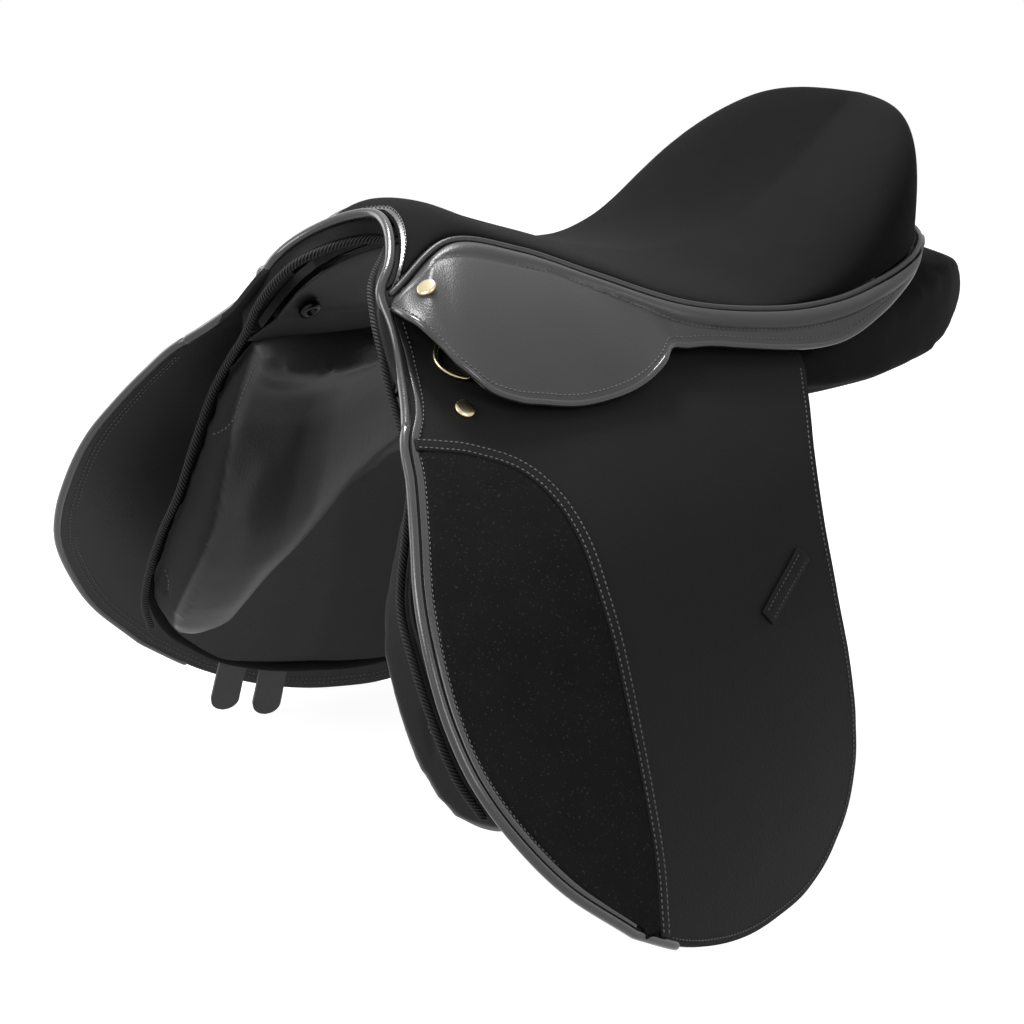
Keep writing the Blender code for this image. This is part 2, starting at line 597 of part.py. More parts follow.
def make_tree():
    def shell(u, v, layer):
        return tree_face(v, mix(-1, 1, u), TREE_THICK * layer)

    block("tree", TREE_COLUMNS, TREE_LENGTH_ROWS, shell, POLYMER)
    plate_depth = TREE_THICK + SOFT_CLEAR
    step = 1 / TREE_LENGTH_ROWS
    around = 1 - 2 / TREE_COLUMNS

    def plate(u, v, layer):
        q = mix(-around, around, u)
        return tree_face(2 * v * step, q, plate_depth + GULLET_PLATE_THICK * layer)

    block("gullet_plate", TREE_COLUMNS - 2, 2, plate, BLACK_STEEL)
    lining_depth = plate_depth + GULLET_PLATE_THICK + SOFT_CLEAR

    def lining(u, v, layer):
        q = mix(-around, around, u)
        return tree_face(5 * v * step, q, lining_depth + LINING_THICK * layer)

    block("gullet_lining", TREE_COLUMNS - 2, 5, lining, PANEL_SKIN)


# The foam fills the seat over these shares of its length and of the tree's, and of their width
FOAM_SEAT_SPAN = (0.03, 0.80)
FOAM_TREE_SPAN = (0.04, 0.96)
FOAM_WIDTH = 0.88
foam_reach = through([(0.0, 0.46), (0.30, 0.50), (0.60, 0.50), (0.80, 0.80), (1.0, 0.90)])
COVER_FRONT = 0.5         # share of its thickness to which the cover is skived at the pommel


def make_seat():
    def cover(u, v, layer):
        return seat_face(v, mix(-1, 1, u), COVER_THICK * layer * (COVER_FRONT if v == 0.0 else 1.0))

    block("seat_cover", SEAT_COLUMNS, SEAT_LENGTH_ROWS, cover, SEAT_CLOTH)

    def foam(u, v, layer):
        q = mix(-1, 1, u)
        if layer == 0:
            return seat_face(mix(*FOAM_SEAT_SPAN, v), FOAM_WIDTH * q, COVER_THICK + FOAM_CLEAR)
        return tree_face(mix(*FOAM_TREE_SPAN, v), foam_reach(v) * q, -FOAM_CLEAR)

    block("seat_foam", SEAT_COLUMNS, 14, foam, FOAM)


# The arch: its outer piping and the ribbed binding of the panels' front, from the middle outwards
SEAT_FRONT_GAP = Vector((0.0, -0.0058, -0.0006))
ARCH_TOP = [tuple(seat_face(0.0, q) + SEAT_FRONT_GAP) for q in (0.0, 0.28, 0.62, 1.0)]
ARCH_HALF = ARCH_TOP + [(0.0720, -0.2290, 0.0860), (0.0870, -0.2345, 0.0690),
                        (0.1060, -0.2465, 0.0500), (0.1260, -0.2575, 0.0400)]
BINDING_HALF = [(0.0, -0.1830, 0.1180), (0.0200, -0.1980, 0.1150), (0.0390, -0.2200, 0.1035),
                (0.0560, -0.2300, 0.0870), (0.0710, -0.2345, 0.0680), (0.0830, -0.2370, 0.0480)]
BINDING_LOWER_S = (0.004, 0.040, 0.080, 0.120, 0.160, 0.195, 0.222)
ARCH_SPANS = 5            # spans of the half arch that the facing covers
ARCH_STEPS = 4            # path points in each span


def both_halves(half):
    """The points of a half path, from the right end over the middle to the left end."""
    return [(-x, y, z) for x, y, z in reversed(half[1:])] + list(half)


def arch_path(half):
    points = both_halves(half)
    return path_through(points, (len(points) - 1) * ARCH_STEPS + 1)


def make_arch():
    outer = arch_path(ARCH_HALF)
    tube("arch_piping", outer, ARCH_PIPING_RADIUS, LEATHER, 1)
    lower = []
    for s in BINDING_LOWER_S:
        y = panel_front_edge(s) - BINDING_RADIUS + 0.003
        depth = under_depth(y, s) + SWEAT_THICK + SOFT_CLEAR
        lower.append(tuple(side_point(1, y, s, depth + BINDING_RADIUS)))
    inner = arch_path(BINDING_HALF + lower)
    tube("panel_binding", inner, BINDING_RADIUS, WEBBING, 1)
    reach = ARCH_SPANS * ARCH_STEPS
    outer = outer[len(outer) // 2 - reach:len(outer) // 2 + reach + 1]
    inner = inner[len(inner) // 2 - reach:len(inner) // 2 + reach + 1]

    def facing(u, v, layer):
        i = round(u * 2 * reach)
        across = inner[i] - outer[i]
        ends = []
        for path, room in ((outer, ARCH_PIPING_RADIUS + SOFT_CLEAR), (inner, -BINDING_RADIUS - SOFT_CLEAR)):
            run = (path[min(i + 1, 2 * reach)] - path[max(i - 1, 0)]).normalized()
            square = (across - run * across.dot(run)).normalized()
            ends.append(path[i] + square * room)
        return mix(*ends, v) + across.cross(run).normalized() * FACING_THICK * (layer - 0.5)

    block("pommel_facing", 20, 1, facing, LEATHER)


# Lower edge of the fixed skirt, by the seat row that it hangs from; the lobe hangs between the
# hinge rows, and the skirt comes down behind it
SKIRT_FRONT = [(0.0, (0.0710, -0.2235, 0.0950)), (0.25, (0.0850, -0.2265, 0.0880)),
               (0.5, (0.1000, -0.2235, 0.0845)), (0.7, (SKIRT_HINGE_X, -0.2190, SKIRT_HINGE_Z)),
               (1.0, (SKIRT_HINGE_X, -0.2050, SKIRT_HINGE_Z)),
               (2.0, (SKIRT_HINGE_X, -0.1400, SKIRT_HINGE_Z)),
               (3.0, (SKIRT_HINGE_X, -0.0900, SKIRT_HINGE_Z)),
               (3.5, (SKIRT_HINGE_X, -0.0640, SKIRT_HINGE_Z))]
SKIRT_REAR = [(3.85, (0.1272, -0.0500, 0.0584)), (4.1, (0.1285, -0.0330, 0.0575)),
              (4.5, (0.1330, -0.0060, 0.0525)), (5.0, (0.1370, 0.0225, 0.0475)),
              (6.0, (0.1400, 0.0715, 0.0445)), (7.0, (0.1410, 0.1100, 0.0592)),
              (8.0, (0.1335, 0.1425, 0.0730)), (9.0, (0.1230, 0.1660, 0.0785)),
              (10.0, (0.1130, 0.1780, 0.0800)), (11.0, (0.1050, 0.1860, 0.0800))]
skirt_front = [through([(row, point[k]) for row, point in SKIRT_FRONT]) for k in range(3)]
skirt_rear = [through([(row, point[k]) for row, point in SKIRT_REAR]) for k in range(3)]
HINGE_FIRST_ROW = 0.7
HINGE_LAST_ROW = 3.5
SEAT_LAST = len(SEAT_ROWS) - 1
PIPING_ROOM = SEAT_PIPING_RADIUS + 2 * SOFT_CLEAR
SEAM_STEP = 0.2           # seat rows over which the seam's direction is taken
BACK_STEP = 0.02          # and the same across the back of the cantle
SKIRT_STEP = 0.02         # and down the skirt's face


def seam_point(row, out):
    """Point beside the seat's edge at a row, pushed outwards and a little down."""
    edge = seat_face(row / SEAT_LAST, 1.0)
    ahead = seat_face(min(row + SEAM_STEP, SEAT_LAST) / SEAT_LAST, 1.0)
    behind = seat_face(max(row - SEAM_STEP, 0.0) / SEAT_LAST, 1.0)
    away = (ahead - behind).cross(Vector((0, 0, 1))).normalized()
    return edge + (away - Vector((0, 0, SEAM_DROP))) * out


def back_seam_point(q, out):
    """The same along the back of the cantle, q from 1 at the left corner to -1."""
    run = seat_face(1.0, q - BACK_STEP) - seat_face(1.0, min(q + BACK_STEP, 1.0))
    away = run.cross(Vector((0, 0, 1))).normalized()
    return seat_face(1.0, q) + (away - Vector((0, 0, SEAM_DROP))) * out


def mirrored(point, side):
    return Vector((side * point.x, point.y, point.z))


def skirt_face(row, v):
    """Outer face of the fixed skirt, from the seam (v 0) to its lower edge, and its normal."""
    ahead_of_slit = row <= HINGE_LAST_ROW
    first, last = (0.0, HINGE_LAST_ROW) if ahead_of_slit else (SKIRT_REAR[0][0], SKIRT_REAR[-1][0])

    def on_face(row):
        row = min(max(row, first), last)
        top = seam_point(row, 2 * PIPING_ROOM)
        low = Vector([edge(row) for edge in (skirt_front if ahead_of_slit else skirt_rear)])
        return mix(top, low, v), low - top

    point, down = on_face(row)
    run = on_face(row + SKIRT_STEP)[0] - on_face(row - SKIRT_STEP)[0]
    normal = down.cross(run).normalized()
    return point + normal * SKIRT_BULGE * math.sin(math.pi * v), normal


def make_skirt(tag, side):
    """Fixed upper skirt along the seat's seam, with its lobe hinged below it."""
    rows = list(np.linspace(0.0, HINGE_FIRST_ROW, 5)[:-1])
    rows += list(np.linspace(HINGE_FIRST_ROW, HINGE_LAST_ROW, 7))
    rows += list(np.linspace(SKIRT_REAR[0][0], SKIRT_REAR[-1][0], 20))
    count = len(rows) - 1
    mitre = Vector(HINGE_MITRE).normalized()

    def sheet(u, v, layer):
        row = rows[round(u * count)]
        point, normal = skirt_face(row, v)
        thick = mix(SKIRT_SKIVED, SKIRT_THICK, ease(v / 0.5))
        if v == 1.0 and HINGE_FIRST_ROW <= row <= HINGE_LAST_ROW:
            normal = mitre
        return mirrored(point - normal * thick * layer, side)

    block(f"skirt_{tag}", count, 4, sheet, LEATHER)
    hinge = Vector((side * SKIRT_HINGE_X, LOBE_FRONT_Y, SKIRT_HINGE_Z))
    start = Vector((SKIRT_HINGE_X, 0.0, SKIRT_HINGE_Z))
    end = Vector((LOBE_BOTTOM_X, 0.0, LOBE_BOTTOM_Z))
    length = (end - start).length
    drop = (end - start) / length
    outward = Vector((-drop.z, 0.0, drop.x))

    def lobe(u, v, layer):
        y = mix(LOBE_FRONT_Y, LOBE_REAR_Y, 0.5 - 0.5 * math.cos(math.pi * u))
        gap = TOUCH / length
        h = mix(gap, max(lobe_drop(y), 3 * gap), v)
        lean = outward - drop * (1 - 2 * h) * 4 * LOBE_BULGE / length
        place = Vector((0.0, y + LOBE_SLANT * h * u * u, 0.0))
        point = mix(start, end, h) + outward * 4 * h * (1 - h) * LOBE_BULGE + place
        inward = mitre if v == 0.0 else lean.normalized()
        return mirrored(point - inward * SKIRT_THICK * layer, side)

    block(f"skirt_lobe_{tag}", 14, 4, lobe, LEATHER, hinge)


lobe_drop = through([(LOBE_FRONT_Y, 0.03), (-0.218, 0.20), (-0.210, 0.46), (-0.200, 0.68), (-0.184, 0.84),
                     (-0.166, 0.93), (-0.142, 1.02), (-0.116, 1.02), (-0.096, 0.96), (-0.082, 0.86),
                     (-0.072, 0.72), (LOBE_REAR_Y, 0.64)])


def make_cantle_band():
    """Leather band round the back of the cantle, between the two skirts, and the welt above it."""
    def band(u, v, layer):
        q = mix(CANTLE_BAND_Q, -CANTLE_BAND_Q, u)
        run = seat_face(1.0, q - BACK_STEP) - seat_face(1.0, q + BACK_STEP)
        away = run.cross(Vector((0, 0, 1))).normalized()
        top = seat_face(1.0, q) + away * PIPING_ROOM
        drop = SEAM_DROP * PIPING_ROOM + SEAT_PIPING_RADIUS + 2 * TOUCH + CANTLE_BAND_HEIGHT * v
        return top + away * CANTLE_BAND_THICK * (0.5 - layer) - Vector((0, 0, drop))

    block("cantle_band", 12, 1, band, LEATHER)
    left = [seam_point(row, PIPING_ROOM) for row in np.linspace(0.0, SEAT_LAST - 0.6, 26)]
    back = [back_seam_point(q, PIPING_ROOM) for q in np.linspace(0.90, 0.0, 4)]
    half = left + back
    whole = half + [mirrored(point, -1) for point in reversed(half[:-1])]
    tube("seat_piping", whole, SEAT_PIPING_RADIUS, LEATHER, 1)


def turned(name, profile, base, axis, finish, steps=14):
    """A turned piece: (radius, height) pairs, from the top of its axis outwards and down."""
    mesh = bpy.data.meshes.new(name)
    corners = [(radius, 0.0, height) for radius, height in profile]
    mesh.from_pydata(corners, [(i, i + 1) for i in range(len(corners) - 1)], [])
    made = add_part(name, mesh, finish)
    made.location = base
    made.rotation_euler = Vector(axis).to_track_quat("Z", "Y").to_euler()
    spin = made.modifiers.new("turn", "SCREW")
    spin.steps = steps
    spin.render_steps = steps
    spin.use_merge_vertices = True
    spin.merge_threshold = 0.0001
    spin.use_smooth_shade = True
    return made


def nail_profile(radius, height):
    return [(0.0, height), (0.70 * radius, 0.94 * height), (0.92 * radius, 0.70 * height),
            (radius, 0.35 * height), (0.96 * radius, 0.0), (0.0, 0.0)]


def make_fasteners(tag, side):
    normal = side_normal(side, FLAP_NAIL_Y, FLAP_NAIL_S)
    base = side_point(side, FLAP_NAIL_Y, FLAP_NAIL_S) + normal * TOUCH
    turned(f"flap_nail_{tag}", nail_profile(NAIL_RADIUS, NAIL_HEIGHT), base, normal, BRASS)

    seat, away = skirt_face(*SKIRT_NAIL_PLACE)
    turned(f"skirt_nail_{tag}", nail_profile(NAIL_RADIUS, NAIL_HEIGHT),
           mirrored(seat + away * TOUCH, side), mirrored(away, side), BRASS)

    v, q = SCREW_PLACE
    depth = TREE_THICK + GULLET_PLATE_THICK + 2 * SOFT_CLEAR + LINING_THICK
    lining = tree_face(v, q, depth)
    inward = (tree_face(v, q, depth + 0.01) - lining).normalized()
    head = [(0.0, 0.35 * SCREW_HEAD), (0.38 * SCREW_RADIUS, 0.35 * SCREW_HEAD),
            (0.42 * SCREW_RADIUS, 0.92 * SCREW_HEAD), (0.80 * SCREW_RADIUS, SCREW_HEAD),
            (SCREW_RADIUS, 0.65 * SCREW_HEAD), (SCREW_RADIUS, 0.0), (0.0, 0.0)]
    turned(f"gullet_screw_{tag}", head, mirrored(lining + inward * SOFT_CLEAR, side),
           mirrored(inward, side), BLACK_STEEL)


def bar_frame(side):
    """Axes of a stirrup bar: its middle, down the leather and out of the side."""
    normal = side_normal(side, BAR_Y, BAR_S)
    middle = side_point(side, BAR_Y, BAR_S)
    down = Vector((side * normal.z, 0.0, -side * normal.x))
    return middle, down, normal


def make_stirrup_bar(tag, side):
    """Forged bar: a riveted plate that turns outwards at its front and runs back, open behind."""
    middle, down, normal = bar_frame(side)
    half = BAR_LENGTH / 2
    slot_radius = BAR_SLOT / 2
    slot_out = TOUCH + BAR_PLATE_THICK + slot_radius
    turn_y = BAR_THICK + slot_radius - half
    bar_in = slot_out + slot_radius
    bar_out = bar_in + BAR_THICK / 2
    # Inner and outer line of the forging, each point as (along the saddle, out of the side)
    inner = [(y, slot_out - slot_radius) for y in (half, BAR_THIRD * half, -BAR_THIRD * half)]
    outer = [(y, TOUCH) for y, out in inner]
    widths = [BAR_PLATE_HEIGHT] * len(inner)
    for t in np.linspace(0.0, 1.0, 7):
        lean = math.pi * t
        reach = slot_radius + mix(BAR_PLATE_THICK, BAR_THICK, t)
        inner.append((turn_y - slot_radius * math.sin(lean), slot_out - slot_radius * math.cos(lean)))
        outer.append((turn_y - reach * math.sin(lean), slot_out - reach * math.cos(lean)))
        widths.append(mix(BAR_PLATE_HEIGHT, BAR_HEIGHT, ease(t)))
    step_y = half - LEVER_LAP
    ends = ((-BAR_THIRD * half, 1.0), (BAR_THIRD * half, 1.0), (step_y, 1.0),
            (step_y + TOUCH, 0.5), (half, 0.5))
    for y, thick in ends:
        inner.append((y, bar_in))
        outer.append((y, bar_in + BAR_THICK * thick))
        widths.append(BAR_HEIGHT)
    last = len(inner) - 1

    def forged(u, v, layer):
        i = round(u * last)
        y, out = (inner, outer)[layer][i]
        return middle + Vector((0.0, y, 0.0)) + normal * out + down * widths[i] * (v - 0.5)

    block(f"stirrup_bar_{tag}", last, 1, forged, STEEL)

    pin_y = half - LEVER_LAP / 2
    pin_base = middle + Vector((0.0, pin_y, 0.0)) + normal * (bar_out + TOUCH)
    thick = BAR_THICK / 2 - TOUCH
    radius = BAR_HEIGHT / 2 - CATCH_MARGIN
    hole = CATCH_PIN_RADIUS + TOUCH
    curve = bpy.data.curves.new(f"stirrup_catch_{tag}", "CURVE")
    curve.dimensions = "2D"
    curve.fill_mode = "BOTH"
    curve.extrude = thick / 2
    outline = [(-radius * math.sin(a), radius * math.cos(a)) for a in np.linspace(0, math.pi, 9)]
    tip = radius * CATCH_TAPER
    outline += [(CATCH_LENGTH - tip + tip * math.sin(a), -tip * math.cos(a))
                for a in np.linspace(0, math.pi, 9)]
    ring = [(hole * math.cos(a), hole * math.sin(a)) for a in np.linspace(0, 2 * math.pi, 13)[:-1]]
    for loop in (outline, ring):
        spline = curve.splines.new("POLY")
        spline.points.add(len(loop) - 1)
        spline.use_cyclic_u = True
        for point, (x, y) in zip(spline.points, loop):
            point.co = (x, y, 0.0, 1.0)
    curve.materials.append(STEEL)
    lever = bpy.data.objects.new(f"stirrup_catch_{tag}", curve)
    facing = Matrix((Vector((0, 1, 0)), normal.cross(Vector((0, 1, 0))), normal)).transposed()
    lever.matrix_world = Matrix.Translation(pin_base + normal * thick / 2) @ facing.to_4x4()
    parts.objects.link(lever)

    head_out = thick + TOUCH
    rivet = [(0.0, head_out + PIN_HEAD_HEIGHT), (0.85 * PIN_HEAD_RADIUS, head_out + 0.9 * PIN_HEAD_HEIGHT),
             (PIN_HEAD_RADIUS, head_out),
             (CATCH_PIN_RADIUS, head_out), (CATCH_PIN_RADIUS, 0.0), (0.0, 0.0)]
    turned(f"catch_pin_{tag}", rivet, pin_base, normal, STEEL, 12)


def make_dee(tag, side):
    """Brass dee that lies forward from its staple; its straight side runs down the leather."""
    lift = TOUCH + DEE_WIRE_RADIUS
    straight = (-DEE_STRAIGHT, 0.0, DEE_STRAIGHT)
    loop = [side_point(side, DEE_Y, DEE_S + k * DEE_HALF_LENGTH, -lift) for k in straight]
    for angle in np.linspace(DEE_CORNER, 180 - DEE_CORNER, 11):
        lean = math.radians(angle)
        loop.append(side_point(side, DEE_Y - DEE_REACH * math.sin(lean),
                               DEE_S + DEE_HALF_LENGTH * math.cos(lean), -lift))
    middle = side_point(side, DEE_Y, DEE_S, -lift)
    tube(f"dee_ring_{tag}", loop, DEE_WIRE_RADIUS, BRASS, 1, True, middle)

    reach = DEE_WIRE_RADIUS + STAPLE_WIRE_RADIUS + SOFT_CLEAR
    foot = TOUCH + STAPLE_WIRE_RADIUS
    arch = [side_point(side, DEE_Y - reach, DEE_S, -foot)]
    for angle in np.linspace(-90, 90, 7):
        lean = math.radians(angle)
        arch.append(side_point(side, DEE_Y + reach * math.sin(lean), DEE_S, -(lift + reach * math.cos(lean))))
    arch.append(side_point(side, DEE_Y + reach, DEE_S, -foot))
    tube(f"dee_staple_{tag}", arch, STAPLE_WIRE_RADIUS, BRASS, 1)


def make_girth(tag, side):
    """Webbing from the tree, and the two straps that the girth buckles to."""
    front_y = FRONT_STRAP_Y - STRAP_WIDTH / 2
    rear_y = REAR_STRAP_Y + STRAP_WIDTH / 2
    depth = FLAP_THICK + SOFT_CLEAR

    def web(u, v, layer):
        s = mix(TREE_EDGE_S - BAR_LAP, STRAP_TOP_S + WEB_LAP, v)
        return side_point(side, mix(front_y, rear_y, u), s, depth + WEB_THICK * layer)

    block(f"girth_web_{tag}", 3, 8, web, WEBBING)
    off_drop = OFF_STRAP_DROP if side < 0 else 0.0
    for place, middle_y, short in (("front", FRONT_STRAP_Y, FRONT_STRAP_SHORT), ("rear", REAR_STRAP_Y, 0.0)):
        def strap(u, v, layer, middle_y=middle_y, short=short):
            s = mix(STRAP_TOP_S, STRAP_END_S - short + off_drop, v)
            end = min(max(0.0, (v - STRAP_TIP) / (1 - STRAP_TIP)), 1.0)
            half = STRAP_WIDTH / 2 * math.sqrt(1 - STRAP_TIP_CURVE * end * end)
            y = middle_y + mix(-half, half, u)
            on_web = depth + WEB_THICK + SOFT_CLEAR
            on_sweat = under_depth(middle_y + STRAP_WIDTH / 2, s) - STRAP_CLEAR - STRAP_THICK
            start = mix(on_web, on_sweat, ease((s - STRAP_TOP_S - WEB_LAP) / STRAP_FALL))
            return side_point(side, y, s, start + STRAP_THICK * layer)

        hinge = side_point(side, middle_y, STRAP_TOP_S + WEB_LAP, depth + WEB_THICK + SOFT_CLEAR)
        block(f"girth_strap_{place}_{tag}", 2, 18, strap, LEATHER, hinge)


make_tree()
make_seat()
make_arch()
make_cantle_band()
for tag, side in SIDES:
    make_skirt(tag, side)
    make_flap_top(tag, side)
    make_flap(tag, side)
    make_insert(tag, side)
    make_keeper(tag, side)
    make_stirrup_bar(tag, side)
    make_dee(tag, side)
    make_fasteners(tag, side)
    make_girth(tag, side)
    make_sweat_flap(tag, side)
    make_front_panel(tag, side)
    make_rear_panel(tag, side)
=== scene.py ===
import math
from bisect import bisect_right
from functools import lru_cache

import bmesh
import bpy
import numpy as np
from mathutils import Matrix, Vector
from mathutils.bvhtree import BVHTree


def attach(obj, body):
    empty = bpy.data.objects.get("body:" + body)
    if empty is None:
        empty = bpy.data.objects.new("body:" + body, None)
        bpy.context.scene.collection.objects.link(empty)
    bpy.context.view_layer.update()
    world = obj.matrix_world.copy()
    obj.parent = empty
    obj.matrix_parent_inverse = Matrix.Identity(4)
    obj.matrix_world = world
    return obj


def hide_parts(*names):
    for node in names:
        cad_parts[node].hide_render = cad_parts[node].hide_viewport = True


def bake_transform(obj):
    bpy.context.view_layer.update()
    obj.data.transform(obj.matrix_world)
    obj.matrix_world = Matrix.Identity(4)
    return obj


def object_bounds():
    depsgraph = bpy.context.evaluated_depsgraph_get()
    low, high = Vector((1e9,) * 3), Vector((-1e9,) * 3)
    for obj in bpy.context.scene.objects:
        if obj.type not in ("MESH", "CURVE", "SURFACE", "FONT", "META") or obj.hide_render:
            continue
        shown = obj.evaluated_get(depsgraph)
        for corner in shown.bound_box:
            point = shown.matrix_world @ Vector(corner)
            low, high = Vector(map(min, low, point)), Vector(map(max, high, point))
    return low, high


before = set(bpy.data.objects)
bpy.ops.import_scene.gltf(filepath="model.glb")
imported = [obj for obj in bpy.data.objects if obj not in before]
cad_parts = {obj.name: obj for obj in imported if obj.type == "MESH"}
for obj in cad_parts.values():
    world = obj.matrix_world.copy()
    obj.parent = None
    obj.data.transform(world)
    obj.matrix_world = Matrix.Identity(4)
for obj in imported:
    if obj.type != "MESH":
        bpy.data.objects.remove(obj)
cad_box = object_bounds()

SIDES = (("left", 1), ("right", -1))


def placed(name, data, location=(0, 0, 0)):
    """Puts a mesh, a lamp or a camera into the scene."""
    obj = bpy.data.objects.new(name, data)
    obj.location = location
    bpy.context.scene.collection.objects.link(obj)
    return obj


def piece_from(bm, name):
    """Puts a bmesh into the scene as a smooth piece."""
    mesh = bpy.data.meshes.new(name)
    bm.to_mesh(mesh)
    bm.free()
    mesh.shade_smooth()
    return placed(name, mesh)


def feed(tree, node, feeds):
    """Sets a node's inputs, by name or number: a value is set, and a socket is linked."""
    for key, value in feeds.items():
        if isinstance(value, bpy.types.NodeSocket):
            tree.links.new(value, node.inputs[key])
        else:
            node.inputs[key].default_value = value
    return node.outputs


def add(tree, kind, feeds={}, **settings):
    """Adds a shader node and gives its outputs."""
    node = tree.nodes.new("ShaderNode" + kind)
    for name, value in settings.items():
        setattr(node, name, value)
    return feed(tree, node, feeds)


def mirror_rays(tree):
    """The rays seen directly, and those that come by a glossy or clear surface."""
    ray = add(tree, "LightPath")
    mirrored_rays = {0: ray["Is Glossy Ray"], 1: ray["Is Transmission Ray"]}
    return ray["Is Camera Ray"], add(tree, "Math", mirrored_rays, operation="MAXIMUM")[0]


# Studio: a plain white floor under a white world, soft lamps, and a camera where the photographer stood, in
# front of the saddle's left side and a little above it.
AIM, DISTANCE = Vector((0.0, -0.087, -0.076)), 1.753
AZIMUTH, ELEVATION, FIELD = math.radians(53.3), math.radians(18.27), math.radians(21.66)
BACK = Vector((math.sin(AZIMUTH) * math.cos(ELEVATION), -math.cos(AZIMUTH) * math.cos(ELEVATION),
               math.sin(ELEVATION)))
camera_data = bpy.data.cameras.new("camera")
camera_data.angle = FIELD
camera = placed("camera", camera_data, AIM + BACK * DISTANCE)
camera.rotation_euler = BACK.to_track_quat("Z", "Y").to_euler()
bpy.context.scene.camera = camera
bpy.context.scene.view_settings.view_transform = "Standard"

white = bpy.data.materials.new("studio_white")
white.use_nodes = True
tree = white.node_tree
paper = feed(tree, tree.nodes["Principled BSDF"], {"Base Color": (0.45, 0.45, 0.45, 1.0),
                                                   "Roughness": 0.9})[0]
both = add(tree, "AddShader", {0: paper, 1: add(tree, "Emission", {"Strength": 0.93})[0]})[0]
direct, mirrors = mirror_rays(tree)
reflected = add(tree, "MixShader", {0: mirrors, 1: paper, 2: add(tree, "Emission")[0]})[0]
shown = add(tree, "MixShader", {0: direct, 1: reflected, 2: both})[0]
feed(tree, tree.nodes["Material Output"], {"Surface": shown})
FLOOR_SIZE, FLOOR_GAP = 1.6, 0.0005
floor_mesh = bmesh.new()
bmesh.ops.create_grid(floor_mesh, x_segments=2, y_segments=2, size=FLOOR_SIZE,
                      matrix=Matrix.Translation((0, 0, cad_box[0].z - FLOOR_GAP)))
floor = piece_from(floor_mesh, "floor")
floor.data.materials.append(white)

world = bpy.data.worlds.new("studio")
bpy.context.scene.world = world
world.use_nodes = True
tree = world.node_tree
direct, mirrors = mirror_rays(tree)
bright = add(tree, "Math", {0: direct, 1: mirrors}, operation="ADD", use_clamp=True)[0]
level = add(tree, "MapRange", {"Value": bright, "To Min": 0.17, "To Max": 1.0})["Result"]
feed(tree, tree.nodes["Background"], {"Color": (1.0, 1.0, 1.0, 1.0), "Strength": level})

for name, place, aim, size, power in (
        ("key", (0.05, -1.35, 0.95), (0, 0, 0), 0.7, 10.0),
        ("top", (-0.45, -0.05, 1.35), (0, 0, 0), 0.45, 26.0),
        ("side", (1.6, -0.2, 0.85), (0, 0, -0.05), 0.8, 7.5),
        ("far", (-1.3, -0.7, 0.45), (0, 0, 0), 0.8, 5.0)):
    lamp_data = bpy.data.lights.new(name, "AREA")
    lamp_data.shape = "SQUARE"
    lamp_data.size = size
    lamp_data.energy = power
    lamp = placed(name, lamp_data, place)
    lamp.rotation_euler = (Vector(place) - Vector(aim)).to_track_quat("Z", "Y").to_euler()


# Tree and gullet plate: the moulded polymer tree carries everything, and a black coated steel plate
# stiffens its arch. Both keep their CAD shape, and only their underside shows, through the channel.
def rgba(colour):
    """A colour from its three parts, or a grey from one."""
    return (*colour, 1.0) if isinstance(colour, tuple) else (colour, colour, colour, 1.0)


def cool(level):
    """A grey with a trace of blue."""
    return (level, level, level + 0.001)


def spoken(values):
    """Socket names written with _ for a space, as they are read by a node."""
    return {socket.replace("_", " "): value for socket, value in values.items()}


def shader(name, colour, roughness, metallic=0.0, **plain):
    """A Principled material; further sockets are given by name."""
    made = bpy.data.materials.new(name)
    made.use_nodes = True
    feed(made.node_tree, made.node_tree.nodes["Principled BSDF"],
         {"Base Color": rgba(colour), "Roughness": roughness, "Metallic": metallic, **spoken(plain)})
    return made


def effect_group(name, inputs, outputs):
    """An empty node group with float inputs and outputs, given as (name, default) and name."""
    group = bpy.data.node_groups.new(name, "ShaderNodeTree")
    for socket, value in inputs:
        made = group.interface.new_socket(socket, in_out="INPUT", socket_type="NodeSocketFloat")
        made.default_value = value
    for socket in outputs:
        group.interface.new_socket(socket, in_out="OUTPUT", socket_type="NodeSocketFloat")
    return group, group.nodes.new("NodeGroupInput").outputs, group.nodes.new("NodeGroupOutput")


def math_node(tree, operation, *values):
    return add(tree, "Math", dict(enumerate(values)), operation=operation)[0]


def noise(tree, place, scale, detail, roughness=0.5):
    return add(tree, "TexNoise", {"Vector": place, "Scale": scale, "Detail": detail,
                                  "Roughness": roughness})["Fac"]


def mixed(tree, factor, a, b, kind="RGBA"):
    """Mixes two colours or two values, each given as itself or as a socket."""
    return add(tree, "Mix", {"A": a, "B": b, "Factor": factor}, data_type=kind)["Result"]


# Grain of embossed synthetic leather: small rounded cells, with a broad mottle for its sheen
grain, given, made = effect_group("leather_grain", [("Cells per metre", 900.0)], ["Height", "Mottle"])
place = add(grain, "TexCoord")["Object"]
cells = add(grain, "TexVoronoi", {"Vector": place, "Scale": given["Cells per metre"], "Smoothness": 0.6},
            feature="SMOOTH_F1")["Distance"]
feed(grain, made, {"Height": math_node(grain, "MULTIPLY_ADD", noise(grain, place, 420.0, 4.0), 0.7, cells),
                   "Mottle": noise(grain, place, 22.0, 3.0)})

